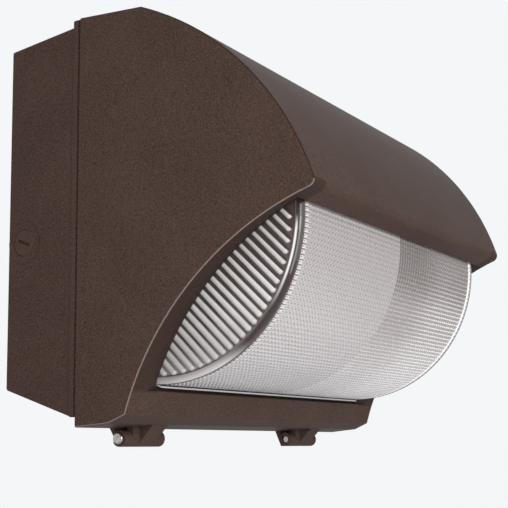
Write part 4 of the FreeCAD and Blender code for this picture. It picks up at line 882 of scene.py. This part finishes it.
# %% Flute lines
FLUTES = 27
FLUTE_RADIUS = 3.5 * MM
FLUTE_SUNK = 1.1 * MM
FLUTE_ARC = (LENS_CENTRE[0] - 1.3 * MM, LENS_CENTRE[1] - 5.2 * MM)
FLUTE_ARC_RADIUS = DRUM_RADIUS - 13.2 * MM
SHORTEST_FLUTE = 3 * FLUTE_RADIUS


def crossing(start, centre, radius, side):
    """Distance along `forward` to a circle: side +1 is where the line leaves it, -1 where it enters."""
    along = (start[0] - centre[0]) * forward[0] + (start[1] - centre[1]) * forward[1]
    outside = math.dist(start, centre) ** 2 - radius ** 2
    return None if along * along <= outside else -along + side * math.sqrt(along * along - outside)


def flute_lines():
    """Start and tip of each flute in both ends: from behind the trough to an arc inside the rim."""
    points, tips, edges = [], [], []
    for number in range(2 * FLUTES):
        side = -1 if number < FLUTES else 1
        along = chord * (number % FLUTES + 0.5) / FLUTES
        base = (CHORD_LOW[0] + chord_unit[0] * along, CHORD_LOW[1] + chord_unit[1] * along)
        back = crossing(base, TROUGH_CENTRE, HIDDEN_RADIUS, -1)
        reach = crossing(base, FLUTE_ARC, FLUTE_ARC_RADIUS, 1)
        if reach is None or reach - back < SHORTEST_FLUTE:
            continue
        edges.append((len(points), len(points) + 1))
        for distance, tip in ((back, 0.0), (reach - FLUTE_RADIUS, 1.0)):
            points.append((side * (CAP_FACE - FLUTE_SUNK), base[0] + forward[0] * distance,
                           base[1] + forward[1] * distance))
            tips.append(tip)
    mesh = bpy.data.meshes.new("flute_lines")
    mesh.from_pydata(points, edges, [])
    mesh.attributes.new("tip", "FLOAT", "POINT").data.foreach_set("value", tips)
    return mesh


flutes = link_object("lens_flutes", flute_lines())
print("flutes:", len(flutes.data.edges))

# %% [markdown]
# A tree turns each line into a bar with a ball at its tip. The same few nodes serve all of them,
# and a change of radius reaches every flute.

# %% Flute bars
ROUND_SIDES = 14
BALL_RINGS = 8

bars, given, result = node_tree("bar_with_ball",
                                [("Bar Radius", "NodeSocketFloat"), ("Glass", "NodeSocketMaterial")])
lines = add_node(bars, "GeometryNodeMeshToCurve", inputs={"Mesh": given.outputs["Geometry"]})
ring = add_node(bars, "GeometryNodeCurvePrimitiveCircle",
                inputs={"Resolution": ROUND_SIDES, "Radius": given.outputs["Bar Radius"]})
bar = add_node(bars, "GeometryNodeCurveToMesh",
               inputs={"Curve": lines.outputs[0], "Profile Curve": ring.outputs[0], "Fill Caps": True})
tip = add_node(bars, "GeometryNodeInputNamedAttribute", {"data_type": "FLOAT"}, {"Name": "tip"})
at_tip = add_node(bars, "ShaderNodeMath", {"operation": "GREATER_THAN"},
                  {0: tip.outputs["Attribute"], 1: 0.5})
ball = add_node(bars, "GeometryNodeMeshUVSphere",
                inputs={"Segments": ROUND_SIDES, "Rings": BALL_RINGS, "Radius": given.outputs["Bar Radius"]})
ends = add_node(bars, "GeometryNodeMeshToPoints",
                inputs={"Mesh": given.outputs["Geometry"], "Selection": at_tip.outputs[0]})
balls = add_node(bars, "GeometryNodeInstanceOnPoints",
                 inputs={"Points": ends.outputs[0], "Instance": ball.outputs[0]})
joined = add_node(bars, "GeometryNodeJoinGeometry", inputs={0: bar.outputs[0]})
bars.links.new(balls.outputs[0], joined.inputs[0])
smooth = add_node(bars, "GeometryNodeSetShadeSmooth", inputs={0: joined.outputs[0]})
solid = add_node(bars, "GeometryNodeRealizeInstances", inputs={0: smooth.outputs[0]})
glazed = add_node(bars, "GeometryNodeSetMaterial",
                  inputs={"Geometry": solid.outputs[0], "Material": given.outputs["Glass"]})
bars.links.new(glazed.outputs[0], result.inputs[0])
print("nodes in the flute tree:", len(bars.nodes))

# %% [markdown]
# A flute works as a strong little lens, and its colour paints what it shows: a painted reflection of the
# bright reflector along one flank and of the dark hood along the other. The dark flank is wide in the upper
# flutes and narrows downwards, and the pale one is whiter high up. How far a surface faces up along the row
# of flutes tells the two.

# %% Flute glass
# Painted reflections: the dark hood on one flank, and the pale reflector, low and high up, on the other.
FLUTE_HOOD_REFLECTION = "#4a3f3c"
FLUTE_LOW = ("#bfb9b9", "#d4cfcf")
FLUTE_HIGH = ("#d8d3d3", "#eeebeb")

flute_glass, tree, output, place, ripple = start_glass("pressed_flute_glass", 12 * MM)
height = place.outputs["Z"]
coords = add_node(tree, "ShaderNodeTexCoord")
uphill = add_node(tree, "ShaderNodeVectorMath", {"operation": "DOT_PRODUCT"},
                  {0: coords.outputs["Normal"], 1: (0, chord_unit[0], chord_unit[1])})
limit = add_node(tree, "ShaderNodeMapRange", SMOOTH, {
    "Value": height, "From Min": -130 * MM, "From Max": -20 * MM, "To Min": 0.82, "To Max": 0.22})
past = add_node(tree, "ShaderNodeMath", {"operation": "SUBTRACT"},
                {0: uphill.outputs["Value"], 1: limit.outputs["Result"]})
high_up, dark_flank = [
    add_node(tree, "ShaderNodeMapRange", SMOOTH,
             {"Value": measure, "From Min": none_at, "From Max": full_at}).outputs["Result"]
    for measure, none_at, full_at in ((height, -140 * MM, -80 * MM), (past.outputs[0], -0.15, 0.15))]
tone, high = [add_node(tree, "ShaderNodeMix", COLOURS,
                       {SHARE: ripple, UNDER: one, OVER: other}).outputs[MIXED]
              for one, other in (FLUTE_LOW, FLUTE_HIGH)]
for share, coat in ((high_up, high), (dark_flank, FLUTE_HOOD_REFLECTION)):
    tone = add_node(tree, "ShaderNodeMix", COLOURS,
                    {SHARE: share, UNDER: tone, OVER: coat}).outputs[MIXED]
fluted = add_node(tree, "ShaderNodeBsdfPrincipled", inputs={
    "IOR": GLASS_IOR, "Transmission Weight": 0.15, "Roughness": 0.12, "Base Color": tone})
tree.links.new(fluted.outputs[0], output.inputs["Surface"])
flutes = run_tree(flutes, bars, {"Bar Radius": FLUTE_RADIUS, "Glass": flute_glass})
print("flute faces:", len(flutes.data.polygons))

# %% [markdown]
# Behind the trough, a flange runs round the bowl. Its lower edge shows as a pale strip in the
# drain slot above the door's bottom bar. It is bent about the trough's axis, not the drum's, so
# its bars are worked out from angles and radii about that axis.

# %% Lens flange
TROUGH_RADIUS = 280.0 * MM
FLANGE_NEAR = 290.6 * MM
FLANGE_FAR = 295.6 * MM
FLANGE_WIDTH = 8.0 * MM
FLANGE_LAP = 5 * MM
FOOT_WIDTH = 1.5 * MM
FOOT_BACK = 2 * MM
TOP_ANGLE = math.radians(66.71)
LOW_ANGLE = math.radians(21.89)
SIDE_STEPS = 4
END_STEPS = 30


def curved_bar(x0, x1, r0, r1, a0, a1, steps):
    """Closed bar bent about the trough's axis."""
    corners = []
    for step in range(steps + 1):
        angle = a0 + (a1 - a0) * step / steps
        for x, r in ((x0, r0), (x1, r0), (x1, r1), (x0, r1)):
            corners.append((x, TROUGH_CENTRE[0] + r * math.cos(angle),
                            TROUGH_CENTRE[1] + r * math.sin(angle)))
    faces = [(0, 1, 2, 3), tuple(4 * steps + i for i in (3, 2, 1, 0))]
    for step in range(steps):
        for side in range(4):
            a, b = 4 * step + side, 4 * step + (side + 1) % 4
            faces.append((b, a, a + 4, b + 4))
    return corners, faces


spread = FLANGE_WIDTH / TROUGH_RADIUS
foot = FOOT_WIDTH / TROUGH_RADIUS
outer_half = LENS_HALF + FLANGE_WIDTH
inner_half = LENS_HALF - FLANGE_LAP
low_side = (LOW_ANGLE - spread, LOW_ANGLE + 0.5 * spread)
high_side = (TOP_ANGLE - 0.5 * spread, TOP_ANGLE + spread)
# (x from, x to, nearest radius, farthest radius, angles, steps): two long sides, two ends and the foot.
flange_bars = [(-outer_half, outer_half, FLANGE_NEAR, FLANGE_FAR, low_side, SIDE_STEPS),
               (-outer_half, outer_half, FLANGE_NEAR, FLANGE_FAR, high_side, SIDE_STEPS),
               (-outer_half, -inner_half, FLANGE_NEAR, FLANGE_FAR, (LOW_ANGLE, TOP_ANGLE), END_STEPS),
               (inner_half, outer_half, FLANGE_NEAR, FLANGE_FAR, (LOW_ANGLE, TOP_ANGLE), END_STEPS),
               (-inner_half, inner_half, TROUGH_RADIUS + FOOT_BACK, FLANGE_NEAR,
                (LOW_ANGLE - foot, LOW_ANGLE), 1)]
flange_points, flange_faces = [], []
for x0, x1, near, far, (a0, a1), count in flange_bars:
    corners, faces = curved_bar(x0, x1, near, far, a0, a1, count)
    flange_faces += [tuple(i + len(flange_points) for i in face) for face in faces]
    flange_points += corners
flange_mesh = bpy.data.meshes.new("lens_flange")
flange_mesh.from_pydata(flange_points, [], flange_faces)
shape = bmesh.new()
shape.from_mesh(flange_mesh)
bmesh.ops.recalc_face_normals(shape, faces=shape.faces)
shape.to_mesh(flange_mesh)
shape.free()
flange = link_object("lens_flange", flange_mesh)
flange_mesh.materials.append(flute_glass)
print("flange faces:", len(flange_mesh.polygons))

# %% [markdown]
# The lens, its flutes and its flange are one piece of glass on the door. The pressed lens takes
# the place of the plain solid one, and all three swing with the door.

# %% Hang the lens on the door
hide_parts("lens")
for piece in (lens, flutes, flange):
    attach(piece, "door")
print("pieces on the door:", [piece.name for piece in (lens, flutes, flange)])
